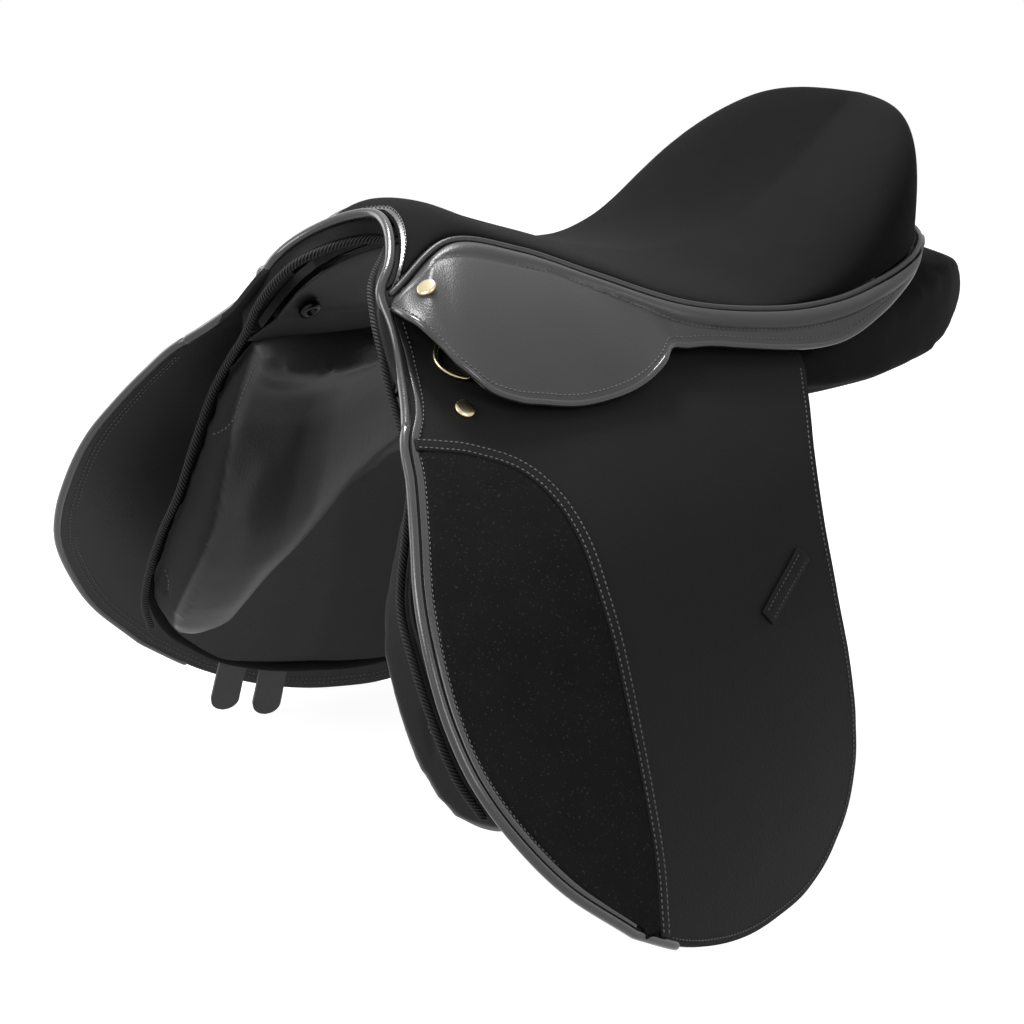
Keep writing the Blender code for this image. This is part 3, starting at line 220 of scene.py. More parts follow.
# Nap of suede and microfibre: a fine fuzz, cloudy strokes, and sparse pale specks of lint
nap, given, made = effect_group("nap", [("Fibres per metre", 1500.0), ("Specks", 0.78)],
                                ["Height", "Cloud", "Lint"])
place = add(nap, "TexCoord")["Object"]
feed(nap, made, {"Height": noise(nap, place, given["Fibres per metre"], 3.0, 0.6),
                 "Cloud": noise(nap, place, 38.0, 4.0, 0.6),
                 "Lint": math_node(nap, "GREATER_THAN", noise(nap, place, 620.0, 1.0), given["Specks"])})


def dressed(made, group, depth, tone=None, shine=None, lint=None, **values):
    """Adds a group's bump to a material, and lets its clouds change the colour and the roughness."""
    tree = made.node_tree
    effect = add(tree, "Group", spoken(values), node_tree=group)
    cloud = effect["Mottle" if group == grain else "Cloud"]
    skin = {"Normal": add(tree, "Bump", {"Distance": depth, "Strength": 1.0, "Height": effect["Height"]})[0]}
    if shine:
        skin["Roughness"] = add(tree, "MapRange", {"To Min": shine[0], "To Max": shine[1],
                                                   "Value": cloud})["Result"]
    if tone:
        skin["Base Color"] = mixed(tree, cloud, rgba(tone[0]), rgba(tone[1]))
    if lint:
        skin["Base Color"] = mixed(tree, effect["Lint"], skin["Base Color"], rgba(lint))
    feed(tree, tree.nodes["Principled BSDF"], skin)
    return made


polymer = dressed(shader("moulded_polymer", 0.03, 0.5), grain, 0.00015, shine=(0.42, 0.6),
                  Cells_per_metre=700.0)
coated_steel = dressed(shader("coated_steel", (0.016, 0.016, 0.017), 0.25, 0.9), grain, 0.00003,
                       shine=(0.18, 0.34), Cells_per_metre=1500.0)
bright_steel = dressed(shader("forged_steel", (0.45, 0.45, 0.46), 0.3, 1.0), grain, 0.00003,
                       shine=(0.22, 0.4), Cells_per_metre=1200.0)
foam = dressed(shader("seat_foam", (0.3, 0.3, 0.28), 0.95), nap, 0.0004,
               tone=((0.26, 0.26, 0.24), (0.36, 0.36, 0.33)), Fibres_per_metre=700.0)


def paint(node, material):
    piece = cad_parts[node]
    piece.data.materials.clear()
    piece.data.materials.append(material)


paint("tree", polymer)
paint("gullet_plate", coated_steel)
paint("seat_foam", foam)
for tag, side in SIDES:
    for node in ("stirrup_bar", "stirrup_catch", "catch_pin"):
        paint(f"{node}_{tag}", bright_steel)


# Gullet lining: thin smooth synthetic leather under the arch, drawn down to the panels and sewn to them
# along a level seam, with one recessed black screw on each side for changing the plate.
def through(points):
    """A smooth function that passes through a few (place, value) pairs."""
    places, values = (list(column) for column in np.array(points, float).T.tolist())
    slopes = np.gradient(values, places).tolist()
    last = len(places) - 2

    def value(place):
        place = min(max(place, places[0]), places[-1])
        i = min(max(bisect_right(places, place) - 1, 0), last)
        span = places[i + 1] - places[i]
        t = (place - places[i]) / span
        start = (2 * t**3 - 3 * t**2 + 1) * values[i] + (t**3 - 2 * t**2 + t) * span * slopes[i]
        end = (3 * t**2 - 2 * t**3) * values[i + 1] + (t**3 - t**2) * span * slopes[i + 1]
        return start + end

    return value


def smooth_path(points, count):
    """A smooth line through the points, as so many points of its own."""
    steps = np.linspace(0, 1, len(points))
    axes = [through(list(zip(steps, column))) for column in np.array(points, float).T]
    return [Vector([axis(t) for axis in axes]) for t in np.linspace(0, 1, count)]


def mix(a, b, t):
    return a + (b - a) * t


def ease(t):
    t = min(max(t, 0.0), 1.0)
    return t * t * (3 - 2 * t)


def section(row, q):
    """Point across a loft: from the middle line (q 0) to the edge (q 1), as one Bezier curve."""
    middle_y, middle_z, edge_x, edge_y, edge_z, shoulder, tuck, rise, lead = row
    side = -1 if q < 0 else 1
    t = abs(q)
    points = ((0.0, middle_y, middle_z), (0.55 * edge_x, mix(middle_y, edge_y, lead), middle_z + rise),
              (edge_x - tuck, mix(middle_y, edge_y, 0.75 + lead / 3), edge_z + shoulder),
              (edge_x, edge_y, edge_z))
    weights = ((1 - t)**3, 3 * (1 - t)**2 * t, 3 * (1 - t) * t**2, t**3)
    x, y, z = (sum(w * p[k] for w, p in zip(weights, points)) for k in range(3))
    return Vector((side * x, y, z))


def loft(rows):
    """Surface over a table of rows: place(v, q, depth), q from -1 to 1 across."""
    columns = [through(list(enumerate(column))) for column in zip(*rows)]
    last = len(rows) - 1

    @lru_cache(None)
    def row_at(v):
        return [column(v * last) for column in columns]

    def on_face(v, q):
        return section(row_at(v), q)

    def place(v, q, depth=0.0):
        if not depth:
            return on_face(v, q)
        step = 0.004
        along = on_face(min(v + step, 1.0), q) - on_face(max(v - step, 0.0), q)
        across = on_face(v, min(q + step, 1.0)) - on_face(v, max(q - step, -1.0))
        return on_face(v, q) - across.cross(along).normalized() * depth

    return place


def finished(obj, material, body=None, replaces=(), bend=None):
    """Gives a piece its material and its body, and hides the CAD nodes it stands for; a piece given a bend
    only has its transform baked into its mesh."""
    obj.data.materials.clear()
    obj.data.materials.append(material)
    if body:
        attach(obj, body)
    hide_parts(*replaces)
    if bend:
        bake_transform(obj)
    return obj


def sheet(columns, rows, place, chart=None):
    """A grid with each vertex at place(u, v), and its UV at chart(u, v) or at u and v."""
    bm = bmesh.new()
    uv = bm.loops.layers.uv.new("UVMap")
    bmesh.ops.create_grid(bm, x_segments=columns, y_segments=rows, size=0.5)
    flat = {vertex: (vertex.co.x + 0.5, vertex.co.y + 0.5) for vertex in bm.verts}
    for face in bm.faces:
        for loop in face.loops:
            loop[uv].uv = chart(*flat[loop.vert]) if chart else flat[loop.vert]
    for vertex, shares in flat.items():
        vertex.co = place(*shares)
    return bm


def leather(name, columns, rows, place, thick, outward, edge=0.7):
    """A cut piece of leather: place(u, v) lays its face, and its edge is rounded."""
    bm = sheet(columns, rows, place)
    bm.normal_update()
    if sum(face.normal.dot(Vector(outward)) * face.calc_area() for face in bm.faces) < 0:
        bmesh.ops.reverse_faces(bm, faces=bm.faces[:])
    obj = piece_from(bm, name)
    wall = obj.modifiers.new("thickness", "SOLIDIFY")
    wall.thickness = thick
    wall.offset = -1.0
    if edge:
        rounding = obj.modifiers.new("edge", "BEVEL")
        rounding.width = edge * thick / 2
        rounding.segments = 3
        rounding.limit_method = "ANGLE"
        rounding.angle_limit = math.radians(50)
    return obj


def lengths(points):
    """How far along a line each of its points lies."""
    run = [0.0]
    for a, b in zip(points, points[1:]):
        run.append(run[-1] + (b - a).length)
    return run


def cord_piece(name, points, radius, around=12, flatten=None):
    """Piping or wire through the points, with round ends. U runs along it in metres, V around it.
    flatten gives the outward direction at each point and the share of the width kept along it."""
    points = [Vector(p) for p in points]
    run = lengths(points)
    ways = [(points[min(i + 1, len(points) - 1)] - points[max(i - 1, 0)]).normalized()
            for i in range(len(points))]
    ends = [(radius * math.sin(a), radius * math.cos(a)) for a in np.linspace(0.02, math.pi / 2, 4)[:-1]]
    rings = [(points[0] - ways[0] * out, ways[0], size, -out, 0) for size, out in ends]
    rings += [(p, w, radius, d, i) for i, (p, w, d) in enumerate(zip(points, ways, run))]
    rings += [(points[-1] + ways[-1] * out, ways[-1], size, run[-1] + out, len(points) - 1)
              for size, out in reversed(ends)]
    up = Vector((0, 0, 1)) if abs(ways[0].z) < 0.9 else Vector((1, 0, 0))
    frames = []
    for point, way, size, reach, i in rings:
        if flatten:
            up = flatten[i][0]
        up = (up - way * up.dot(way)).normalized()
        frames.append((point, up.copy(), way.cross(up), size, reach, flatten[i][1] if flatten else 1.0))
    last = len(frames) - 1

    def skin(u, v):
        point, up, across, size, reach, share = frames[round(u * last)]
        angle = 2 * math.pi * v
        return point + up * math.cos(angle) * size * share + across * math.sin(angle) * size

    bm = sheet(last, around, skin, lambda u, v: (frames[round(u * last)][4], v))
    bmesh.ops.remove_doubles(bm, verts=bm.verts[:], dist=0.000001)
    bmesh.ops.holes_fill(bm, edges=[edge for edge in bm.edges if edge.is_boundary], sides=0)
    bmesh.ops.recalc_face_normals(bm, faces=bm.faces[:])
    return piece_from(bm, name)


def stitches(name, places, pitch=0.0034, length=0.0025, width=0.001):
    """Thread along a seam: places are (point, outward normal) pairs, close together."""
    points = [Vector(p) for p, normal in places]
    run = lengths(points)
    count = max(int(run[-1] / pitch), 1)
    bm = bmesh.new()
    for i in range(count):
        at = (i + 0.5) * run[-1] / count
        k = min(max(int(np.searchsorted(run, at)), 1), len(run) - 1)
        point = points[k - 1].lerp(points[k], (at - run[k - 1]) / max(run[k] - run[k - 1], 1e-9))
        along = (points[k] - points[k - 1]).normalized()
        across = Vector(places[k][1]).cross(along).normalized()
        up = along.cross(across)
        shape = Matrix((along * length / 2, across * width / 2, up * width / 2)).transposed().to_4x4()
        bmesh.ops.create_icosphere(bm, subdivisions=1, radius=1.0,
                                   matrix=Matrix.Translation(point + up * width * 0.2) @ shape)
    return piece_from(bm, name)


def turned(name, profile, steps, base, normal):
    """A round piece: (radius, height) pairs turned about the normal at its base."""
    bm = bmesh.new()
    rim = [bm.verts.new((r, 0.0, h)) for r, h in profile]
    spine = [bm.edges.new(pair) for pair in zip(rim, rim[1:])]
    bmesh.ops.spin(bm, geom=rim + spine, axis=(0, 0, 1), cent=(0, 0, 0), angle=2 * math.pi, steps=steps,
                   use_merge=True)
    bmesh.ops.remove_doubles(bm, verts=bm.verts[:], dist=0.00002)
    bmesh.ops.recalc_face_normals(bm, faces=bm.faces[:])
    bm.transform(Matrix.Translation(base) @ normal.to_track_quat("Z", "Y").to_matrix().to_4x4())
    return piece_from(bm, name)


FOLD_X, FOLD_Z, TOP_LEAN, LOW_LEAN, BEND_LENGTH = 0.129, 0.038, 40.8, 72.8, 0.139


def lean_at(y, s):
    """Angle of the side surface below horizontal, in radians."""
    bend = np.clip(s / BEND_LENGTH, -0.3, 1.0)
    flare = 85.6 * (y + 0.11) * np.clip(s / BEND_LENGTH, 0.0, 1.0)
    climb = np.clip((-0.036 - s) / 0.02, 0.0, 1.0) * np.clip((-0.15 - y) / 0.07, 0.0, 1.0)
    return np.radians(TOP_LEAN + (LOW_LEAN - TOP_LEAN) * bend + flare + 17.0 * climb)


def side_point(side, y, s, depth=0.0):
    """Point at y along the saddle, s down the leather from the fold and depth inside its face."""
    steps = np.linspace(0.0, s, 17)
    lean = lean_at(y, steps)
    across, fall, part = np.cos(lean), np.sin(lean), s / 16
    x = FOLD_X + (across.sum() - (across[0] + across[-1]) / 2) * part - depth * fall[-1]
    z = FOLD_Z - (fall.sum() - (fall[0] + fall[-1]) / 2) * part - depth * across[-1]
    return Vector((side * x, y, z))


def side_normal(side, y, s):
    lean = float(lean_at(y, s))
    return Vector((side * math.sin(lean), 0.0, math.cos(lean)))


def laid(side, path, depth=0.0, way=1):
    """Pairs of point and normal on the side surface, for a path of (y, s) places."""
    return [(side_point(side, y, s, depth), side_normal(side, y, s) * way) for y, s in path]


TREE_EDGE = side_point(1, 0.0, -0.036, 0.0077)
tree_face = loft([
    (-0.172, 0.126, TREE_EDGE.x, -0.218, TREE_EDGE.z, 0.028, 0.03, -0.015, 0.75),
    (-0.153, 0.1265, TREE_EDGE.x, -0.185, TREE_EDGE.z, 0.022, 0.028, -0.01, 0.5),
    (-0.12, 0.112, TREE_EDGE.x, -0.13, TREE_EDGE.z, 0.015, 0.024, -0.004, 0.3),
    (-0.06, 0.088, TREE_EDGE.x, -0.06, TREE_EDGE.z, 0.01, 0.0175, -0.002, 0.3),
    (0.0, 0.072, TREE_EDGE.x, 0.0, TREE_EDGE.z, 0.008, 0.014, -0.001, 0.3),
    (0.045, 0.07, TREE_EDGE.x, 0.045, TREE_EDGE.z, 0.007, 0.012, 0.0, 0.3),
    (0.085, 0.078, 0.106, 0.08, 0.057, 0.01, 0.01, 0.0, 0.3),
    (0.13, 0.098, 0.11, 0.115, 0.065, 0.022, 0.004, 0.0, 0.3),
    (0.175, 0.13, 0.096, 0.148, 0.076, 0.04, 0.002, 0.002, 0.3),
    (0.202, 0.156, 0.078, 0.168, 0.086, 0.05, 0.0, 0.0, 0.3),
])
LINING_DEPTH = 0.0118
lining_leather = dressed(shader("lining_leather", cool(0.028), 0.5, Specular_IOR_Level=0.25), grain,
                         0.0001, shine=(0.44, 0.58))


def lining(u, v):
    side, across = (1, 2 * u - 1) if u > 0.5 else (-1, 1 - 2 * u)
    arch = tree_face(mix(0.0, 0.3125, v), side * min(across, 0.8) / 0.8 * 0.84, LINING_DEPTH)
    foot = Vector((side * 0.0815, mix(-0.235, -0.145, v), mix(0.0455, 0.033, v)))
    return arch.lerp(foot, ease((across - 0.8) / 0.2))


finished(leather("gullet_liner", 60, 40, lining, 0.0015, (0, 0, -1), edge=0), lining_leather,
         "saddle", ["gullet_lining"])

BOLT_HEAD = [(0.0, 0.0012), (0.0028, 0.0012), (0.003, 0.0036), (0.0042, 0.0041), (0.006, 0.004),
             (0.0072, 0.003), (0.0075, 0.0), (0.0, 0.0)]
for tag, side in SIDES:
    seat_at, deeper = (tree_face(0.055, side * 0.735, LINING_DEPTH + depth) for depth in (0.0024, 0.01))
    bolt = turned(f"gullet_bolt_{tag}", BOLT_HEAD, 36, seat_at, (deeper - seat_at).normalized())
    finished(bolt, coated_steel, "saddle", [f"gullet_screw_{tag}"])


# Sweat flaps: soft synthetic leather that hangs under each girth strap, bound round its lower edge with
# black tape. The panel in front of it is sewn on to its inner face.
THIN = 0.0025
UNDER_START = 0.0077 + 0.006 + 0.0018


def under_depth(y, s):
    """Depth of the sweat flap's outer face below the flap's."""
    front = 0.02 * min(max((-0.11 - y) / 0.15, 0.0), 1.0)
    return UNDER_START + (0.032 + front) * ease((s + 0.036) / 0.136)


sweat_front = through([(-0.036, -0.232), (0.0, -0.238), (0.04, -0.25), (0.08, -0.26),
                       (0.12, -0.2635), (0.17, -0.26), (0.21, -0.248), (0.24, -0.229),
                       (0.262, -0.205)])
sweat_rear = through([(-0.036, 0.02), (0.04, 0.01), (0.12, 0.006), (0.19, 0.01),
                      (0.24, 0.006), (0.262, -0.008)])
sweat_bottom = through([(-0.205, 0.262), (-0.19, 0.273), (-0.16, 0.287), (-0.125, 0.296),
                        (-0.085, 0.2985), (-0.045, 0.29), (-0.02, 0.276), (-0.008, 0.262)])
SWEAT_SIDE = 0.262


def sweat_place(u, v):
    """Place (y, s) on the sweat flap at share u from front to rear and v from top to bottom."""
    s = mix(-0.044, SWEAT_SIDE, v)
    y = mix(sweat_front(s), sweat_rear(s), u)
    return y, s + (sweat_bottom(mix(-0.205, -0.008, u)) - SWEAT_SIDE) * v ** 4


soft_leather = dressed(shader("soft_leather", 0.015, 0.48, Specular_IOR_Level=0.25), grain, 0.00018,
                       tone=(0.012, 0.018), shine=(0.4, 0.56))
tape = dressed(shader("binding_tape", 0.006, 0.8, Specular_IOR_Level=0.1), nap, 0.0003, tone=(0.004, 0.008))
for tag, side in SIDES:
    def sweat(u, v):
        y, s = sweat_place(u, v)
        fold = 0.0012 * math.sin(9.0 * u + 4.0 * v) * ease((v - 0.4) / 0.3)
        return side_point(side, y, s, under_depth(y, s) - fold)

    finished(leather(f"sweat_leather_{tag}", 60, 80, sweat, THIN, (side, 0, 0.3)), soft_leather,
             "saddle", [f"sweat_flap_{tag}"])
    edge = [sweat_place(0.0, v) for v in np.linspace(0.72, 0.99, 20)]
    edge += [sweat_place(u, 1.0) for u in np.linspace(0.0, 1.0, 70)]
    edge += [sweat_place(1.0, v) for v in np.linspace(0.99, 0.72, 20)]
    rim = [side_point(side, y, s, under_depth(y, s) + THIN / 2) for y, s in edge]
    ups = [(side_normal(side, y, s), 0.55) for y, s in edge]
    finished(cord_piece(f"sweat_tape_{tag}", rim, 0.0046, 12, ups), tape, "saddle",
             [f"sweat_binding_{tag}"])


# Panels: the stuffed cushions that lie on the horse, each blown up from its CAD outline by a short cloth
# simulation and held off its neighbours; the front ones are then drawn in along their gusset seam.
def bare(node):
    """A CAD node's own shape."""
    bm = bmesh.new()
    bm.from_mesh(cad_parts[node].data)
    return bm


def as_shaped(obj):
    """The mesh of a piece with its modifiers."""
    return bpy.data.meshes.new_from_object(obj.evaluated_get(bpy.context.evaluated_depsgraph_get()))


CLOTH = {"quality": 5, "mass": 0.3, "tension_stiffness": 20, "compression_stiffness": 20,
         "use_pressure": True, "uniform_pressure_force": 7.0}
CLOTH_STEPS, VOXEL, PUFF, SKIP, CLEARANCE = 20, 0.005, 0.007, 0.0003, 0.001


def stuffed(name, node, neighbours):
    """A cushion blown up from its CAD shape, as far as its neighbours leave it room."""
    bm = bare(node)
    bmesh.ops.remove_doubles(bm, verts=bm.verts[:], dist=0.00001)
    bm.normal_update()
    for vertex in bm.verts:
        vertex.co -= vertex.normal * SKIP
    obj = piece_from(bm, name)
    remesh = obj.modifiers.new("remesh", "REMESH")
    remesh.mode = "VOXEL"
    remesh.voxel_size = VOXEL
    obj.modifiers.new("smooth", "SMOOTH").iterations = 1
    obj.data = as_shaped(obj)
    obj.modifiers.clear()
    start = np.array([v.co for v in obj.data.vertices])
    cloth = obj.modifiers.new("cloth", "CLOTH")
    for setting, value in CLOTH.items():
        setattr(cloth.settings, setting, value)
    cloth.settings.effector_weights.gravity = 0.0
    for step in range(CLOTH_STEPS):
        bpy.context.scene.frame_set(step + 1)
    end = np.array([v.co for v in as_shaped(obj).vertices])
    obj.modifiers.clear()
    bpy.context.scene.frame_set(1)
    blockers = [BVHTree.FromBMesh(bare(neighbour)) for neighbour in neighbours]
    end -= (end - start).mean(axis=0)
    normals = [vertex.normal.copy() for vertex in obj.data.vertices]
    for vertex, normal, a, b in zip(obj.data.vertices, normals, start, end):
        move = Vector(b - a)
        inward = min(move.dot(normal) + 0.0005, 0.0)
        move -= normal * inward
        if inward:
            move = move.normalized() * min(move.length, 0.001)
        reach = min(move.length, PUFF)
        if reach < 1e-6:
            continue
        way = move.normalized()
        for blocker in blockers:
            hit = blocker.ray_cast(Vector(a), way, reach + CLEARANCE)
            if hit[0] is not None:
                reach = max(min(reach, hit[3] - CLEARANCE), 0.0)
        vertex.co = Vector(a) + way * reach
    obj.modifiers.new("relax", "SMOOTH").iterations = 4
    level = obj.modifiers.new("round", "SUBSURF")
    level.levels = level.render_levels = 1
    obj.data = as_shaped(obj)
    obj.modifiers.clear()
    obj.data.shade_smooth()
    return obj


def seam_on(obj, path):
    """The path laid on a piece's surface, as (point, normal) pairs."""
    tree = BVHTree.FromObject(obj, bpy.context.evaluated_depsgraph_get())
    return [tree.find_nearest(point)[:2] for point in smooth_path(path, 160)]


def draw_in(obj, places, depth=0.0018, width=0.0045):
    """Presses a groove into a piece along a seam."""
    points = np.array([p for p, normal in places])
    for vertex in obj.data.vertices:
        distance = np.linalg.norm(points - np.array(vertex.co), axis=1)
        k = int(distance.argmin())
        if distance[k] < 2 * width:
            vertex.co -= Vector(places[k][1]) * depth * math.exp(-(distance[k] / width) ** 2)


thread = dressed(shader("grey_thread", (0.14, 0.14, 0.142), 0.6), nap, 0.0001,
                 tone=((0.09, 0.09, 0.092), (0.14, 0.14, 0.143)))
panel_leather = dressed(shader("panel_leather", cool(0.047), 0.42, Specular_IOR_Level=0.28), grain, 0.00012,
                        tone=(cool(0.043), cool(0.052)), shine=(0.34, 0.48))
rear_cover = dressed(shader("panel_cover", 0.009, 0.78, Specular_IOR_Level=0.1), nap, 0.0003,
                     tone=(0.006, 0.011))
gusset_line = through([(-0.165, 0.157), (-0.145, 0.155), (-0.11, 0.147), (-0.08, 0.139),
                       (-0.041, 0.122), (-0.001, 0.095), (0.038, 0.07)])
gusset_front = through([(-0.165, -0.254), (-0.145, -0.25), (-0.11, -0.243), (-0.08, -0.234),
                        (-0.041, -0.232), (-0.001, -0.236), (0.038, -0.236)])
# the fullest place of a front cushion, and the shorter foot of the right one
BELLY, BELLY_RISE, BELLY_WIDTH = (0.13, -0.205, -0.07), 0.004, 0.04
FOOT_TOP, FOOT_SHARE = -0.11, 0.78


def second_face(made, attribute, **look):
    """Gives a material another look wherever the piece's attribute is 1."""
    tree = made.node_tree
    skin = tree.nodes["Principled BSDF"]
    mask = add(tree, "Attribute", attribute_name=attribute)["Fac"]
    for name, value in spoken(look).items():
        socket = skin.inputs[name]
        plain = socket.links[0].from_socket if socket.is_linked else socket.default_value
        kind = "RGBA" if name == "Base Color" else "FLOAT"
        feed(tree, skin, {name: mixed(tree, mask, plain, value, kind)})


def sewn(name, places, body="saddle", bend=None, size=()):
    """A line of stitches; size gives their pitch, length and width."""
    finished(stitches(name, places, *size), thread, None if bend else body, bend=bend)


second_face(panel_leather, "gusset", Base_Color=rgba(0.018), Roughness=0.75, Specular_IOR_Level=0.15)
for tag, side in SIDES:
    front = stuffed(f"front_cushion_{tag}", f"panel_front_{tag}", [
        f"sweat_flap_{tag}", f"panel_rear_{tag}", "tree", "gullet_lining", "panel_binding"])
    gusset = seam_on(front, [(side * x, y, z) for x, y, z in (
        (0.08, -0.236, 0.03), (0.095, -0.236, -0.001), (0.122, -0.232, -0.041), (0.139, -0.231, -0.08),
        (0.147, -0.243, -0.11), (0.155, -0.25, -0.145))])
    draw_in(front, gusset)
    middle = Vector((side * BELLY[0], *BELLY[1:]))
    normals = [vertex.normal.copy() for vertex in front.data.vertices]
    for vertex, normal in zip(front.data.vertices, normals):
        vertex.co += normal * BELLY_RISE * math.exp(-((vertex.co - middle).length / BELLY_WIDTH) ** 2)
    napped = front.data.attributes.new("gusset", "FLOAT", "POINT")
    for vertex, normal, mark in zip(front.data.vertices, normals, napped.data):
        place, outward = vertex.co, normal.x * side
        beyond = abs(place.x) - gusset_line(place.z)
        ahead = gusset_front(place.z) - place.y
        mark.value = max(ease((ahead + 0.5 * beyond) / 0.003 + 0.5), ease((outward - 0.6) / 0.2))
        if side < 0 and place.z < FOOT_TOP:
            place.z = mix(FOOT_TOP, place.z, FOOT_SHARE)
    finished(front, panel_leather, "saddle", [f"panel_front_{tag}"])
    sewn(f"gusset_stitching_{tag}", seam_on(front, [p for p, n in gusset[::8]]))
    rear = stuffed(f"rear_cushion_{tag}", f"panel_rear_{tag}", [
        f"sweat_flap_{tag}", f"panel_front_{tag}", "tree", f"skirt_{tag}", "cantle_band",
        f"flap_top_{tag}", "seat_piping"])
    finished(rear, rear_cover, "saddle", [f"panel_rear_{tag}"])


# Girth webs and straps: two leather straps a side, hung from webbing off the tree. Their rounded ends
# come out below the sweat flap, lower on the right side than on the left.
web = dressed(shader("girth_webbing", 0.012, 0.85), nap, 0.0004, tone=(0.01, 0.018), Fibres_per_metre=900.0)
strap_leather = dressed(shader("strap_leather", 0.018, 0.5), grain, 0.0002, shine=(0.42, 0.6))
STRAP_START, STRAP_END, STRAP_HALF, STRAP_THICK = 0.062, 0.322, 0.0095, 0.0035
RIGHT_STRAP_DROP = 0.02
for tag, side in SIDES:
    paint(f"girth_web_{tag}", web)
    drop = RIGHT_STRAP_DROP if side < 0 else 0.0
    for name, middle, short in (("front", -0.172, 0.009), ("rear", -0.14, 0.0)):
        def strap(u, v):
            s = mix(STRAP_START, STRAP_END - short + drop, 1.0 - (1.0 - v) ** 1.3)
            length = STRAP_END - short + drop - s
            half = STRAP_HALF * math.sqrt(max(1.0 - max(0.0, 1.0 - length / 0.0105) ** 2, 0.002))
            falling = mix(0.0068, under_depth(middle + STRAP_HALF, s) - 0.0057, ease((s - 0.074) / 0.08))
            return side_point(side, middle + mix(-half, half, u), s, falling)

        finished(leather(f"{name}_strap_{tag}", 10, 90, strap, STRAP_THICK, (side, 0, 0.3)), strap_leather,
                 f"{name}_strap_body_{tag}", [f"girth_strap_{name}_{tag}"])


# Flaps: one big piece of grained leather a side, fixed along its top, with a rolled piping down its front, a
# turned and sewn rear edge, and a bare keeper tab sewn on near the back.
FLAP_LENGTH, FLAP_THICK, RIGHT_FLAP_LONGER = 0.341, 0.0035, 0.009
front_line = through([(-0.09, -0.226), (-0.075, -0.229), (-0.055, -0.232), (-0.035, -0.2385),
                      (-0.012, -0.249), (0.0, -0.258), (0.03, -0.269), (0.061, -0.279),
                      (0.096, -0.289), (0.14, -0.294), (0.175, -0.2935), (0.204, -0.288),
                      (0.239, -0.272), (0.276, -0.247), (0.309, -0.211)])
# the left flap's leather is worked a little further forward than the right one's
stretch = through([(0.0, 0.0), (0.03, 0.0005), (0.061, 0.003), (0.096, 0.0065), (0.14, 0.0105),
                   (0.175, 0.0125), (0.204, 0.014), (0.239, 0.015), (0.276, 0.0115), (0.309, 0.005)])


def flap_front(s, side=1):
    return front_line(s) - (stretch(s) if side > 0 else 0.0)


flap_rear = through([(-0.05, 0.03), (-0.025, 0.038), (0.0, 0.044), (0.028, 0.034), (0.066, 0.021),
                     (0.11, 0.016), (0.156, 0.023), (0.205, 0.034), (0.246, 0.039), (0.28, 0.036),
                     (0.306, 0.022), (0.322, 0.004), (0.335, -0.026), (FLAP_LENGTH, -0.07)])
flap_leather = dressed(shader("flap_leather", 0.02, 0.46, Specular_IOR_Level=0.05), grain, 0.00016,
                       tone=(0.018, 0.022), shine=(0.4, 0.52), Cells_per_metre=1100.0)
flap_lining = dressed(shader("flap_lining", cool(0.03), 0.5, Specular_IOR_Level=0.25), grain, 0.00014,
                      tone=(cool(0.026), cool(0.034)))
rolled_leather = dressed(shader("rolled_leather", cool(0.022), 0.24, Coat_Weight=0.6, Coat_Roughness=0.12),
                         grain, 0.00006, shine=(0.22, 0.34))


def hinge_drop(y):
    return mix(0.003, 0.02, (y + 0.26) / 0.304)


def bend_line(side):
    """Where the flap's leather bends: points just above and just below the line."""
    axis = (side_point(side, 0.044, 0.02) - side_point(side, -0.26, 0.003)).normalized()
    middle = side_point(side, -0.108, hinge_drop(-0.108))
    down = side_point(side, -0.108, hinge_drop(-0.108) + 0.01) - middle
    down = (down - axis * down.dot(axis)).normalized()
    return middle - down * 0.005, middle + down * 0.007


# the flap's rounded bottom edge, from its front corner to its rear one, as s over y
SIDE_END = 0.309
flap_bottom = through([(-0.217, 0.309), (-0.17, 0.329), (-0.135, 0.3372), (-0.1, 0.341),
                       (-0.07, 0.3405), (-0.026, 0.335), (0.004, 0.322), (0.02, 0.309)])


def flap_place(side, u, v):
    """Place (y, s) on a flap at share u from front to rear and v from top to bottom."""
    longer = RIGHT_FLAP_LONGER if side < 0 else 0.0
    s = mix(-0.05, SIDE_END, v)
    y = mix(flap_front(s, side) + 0.003 * (1 - v), flap_rear(s), u)
    end = mix(flap_front(SIDE_END), flap_rear(SIDE_END), u)
    s += (flap_bottom(end) - SIDE_END) * v ** 3 + longer * ease((v - 0.6) / 0.4) * math.sin(math.pi * u)
    if v < 0.14:
        s = mix(mix(-0.088, -0.05, ease(u / 0.3)), s, ease(v / 0.14))
    return y, s


def set_in(path, room):
    """A path of (y, s) places moved to its left by the room."""
    moved = []
    for i, (y, s) in enumerate(path):
        (ya, sa), (yb, sb) = path[max(i - 1, 0)], path[min(i + 1, len(path) - 1)]
        size = math.hypot(yb - ya, sb - sa) or 1.0
        moved.append((y + (sb - sa) / size * room, s - (yb - ya) / size * room))
    return moved


TAB_Y, TAB_DROP, TAB_TILT, TAB_LENGTH, TAB_WIDTH = -0.026, 0.142, math.radians(42.0), 0.05, 0.013


def tab_place(u, v):
    """Place (y, s) on the keeper tab."""
    along, across = (u - 0.5) * TAB_LENGTH, v * TAB_WIDTH
    return (TAB_Y + along * math.cos(TAB_TILT) + across * math.sin(TAB_TILT),
            TAB_DROP - along * math.sin(TAB_TILT) + across * math.cos(TAB_TILT))


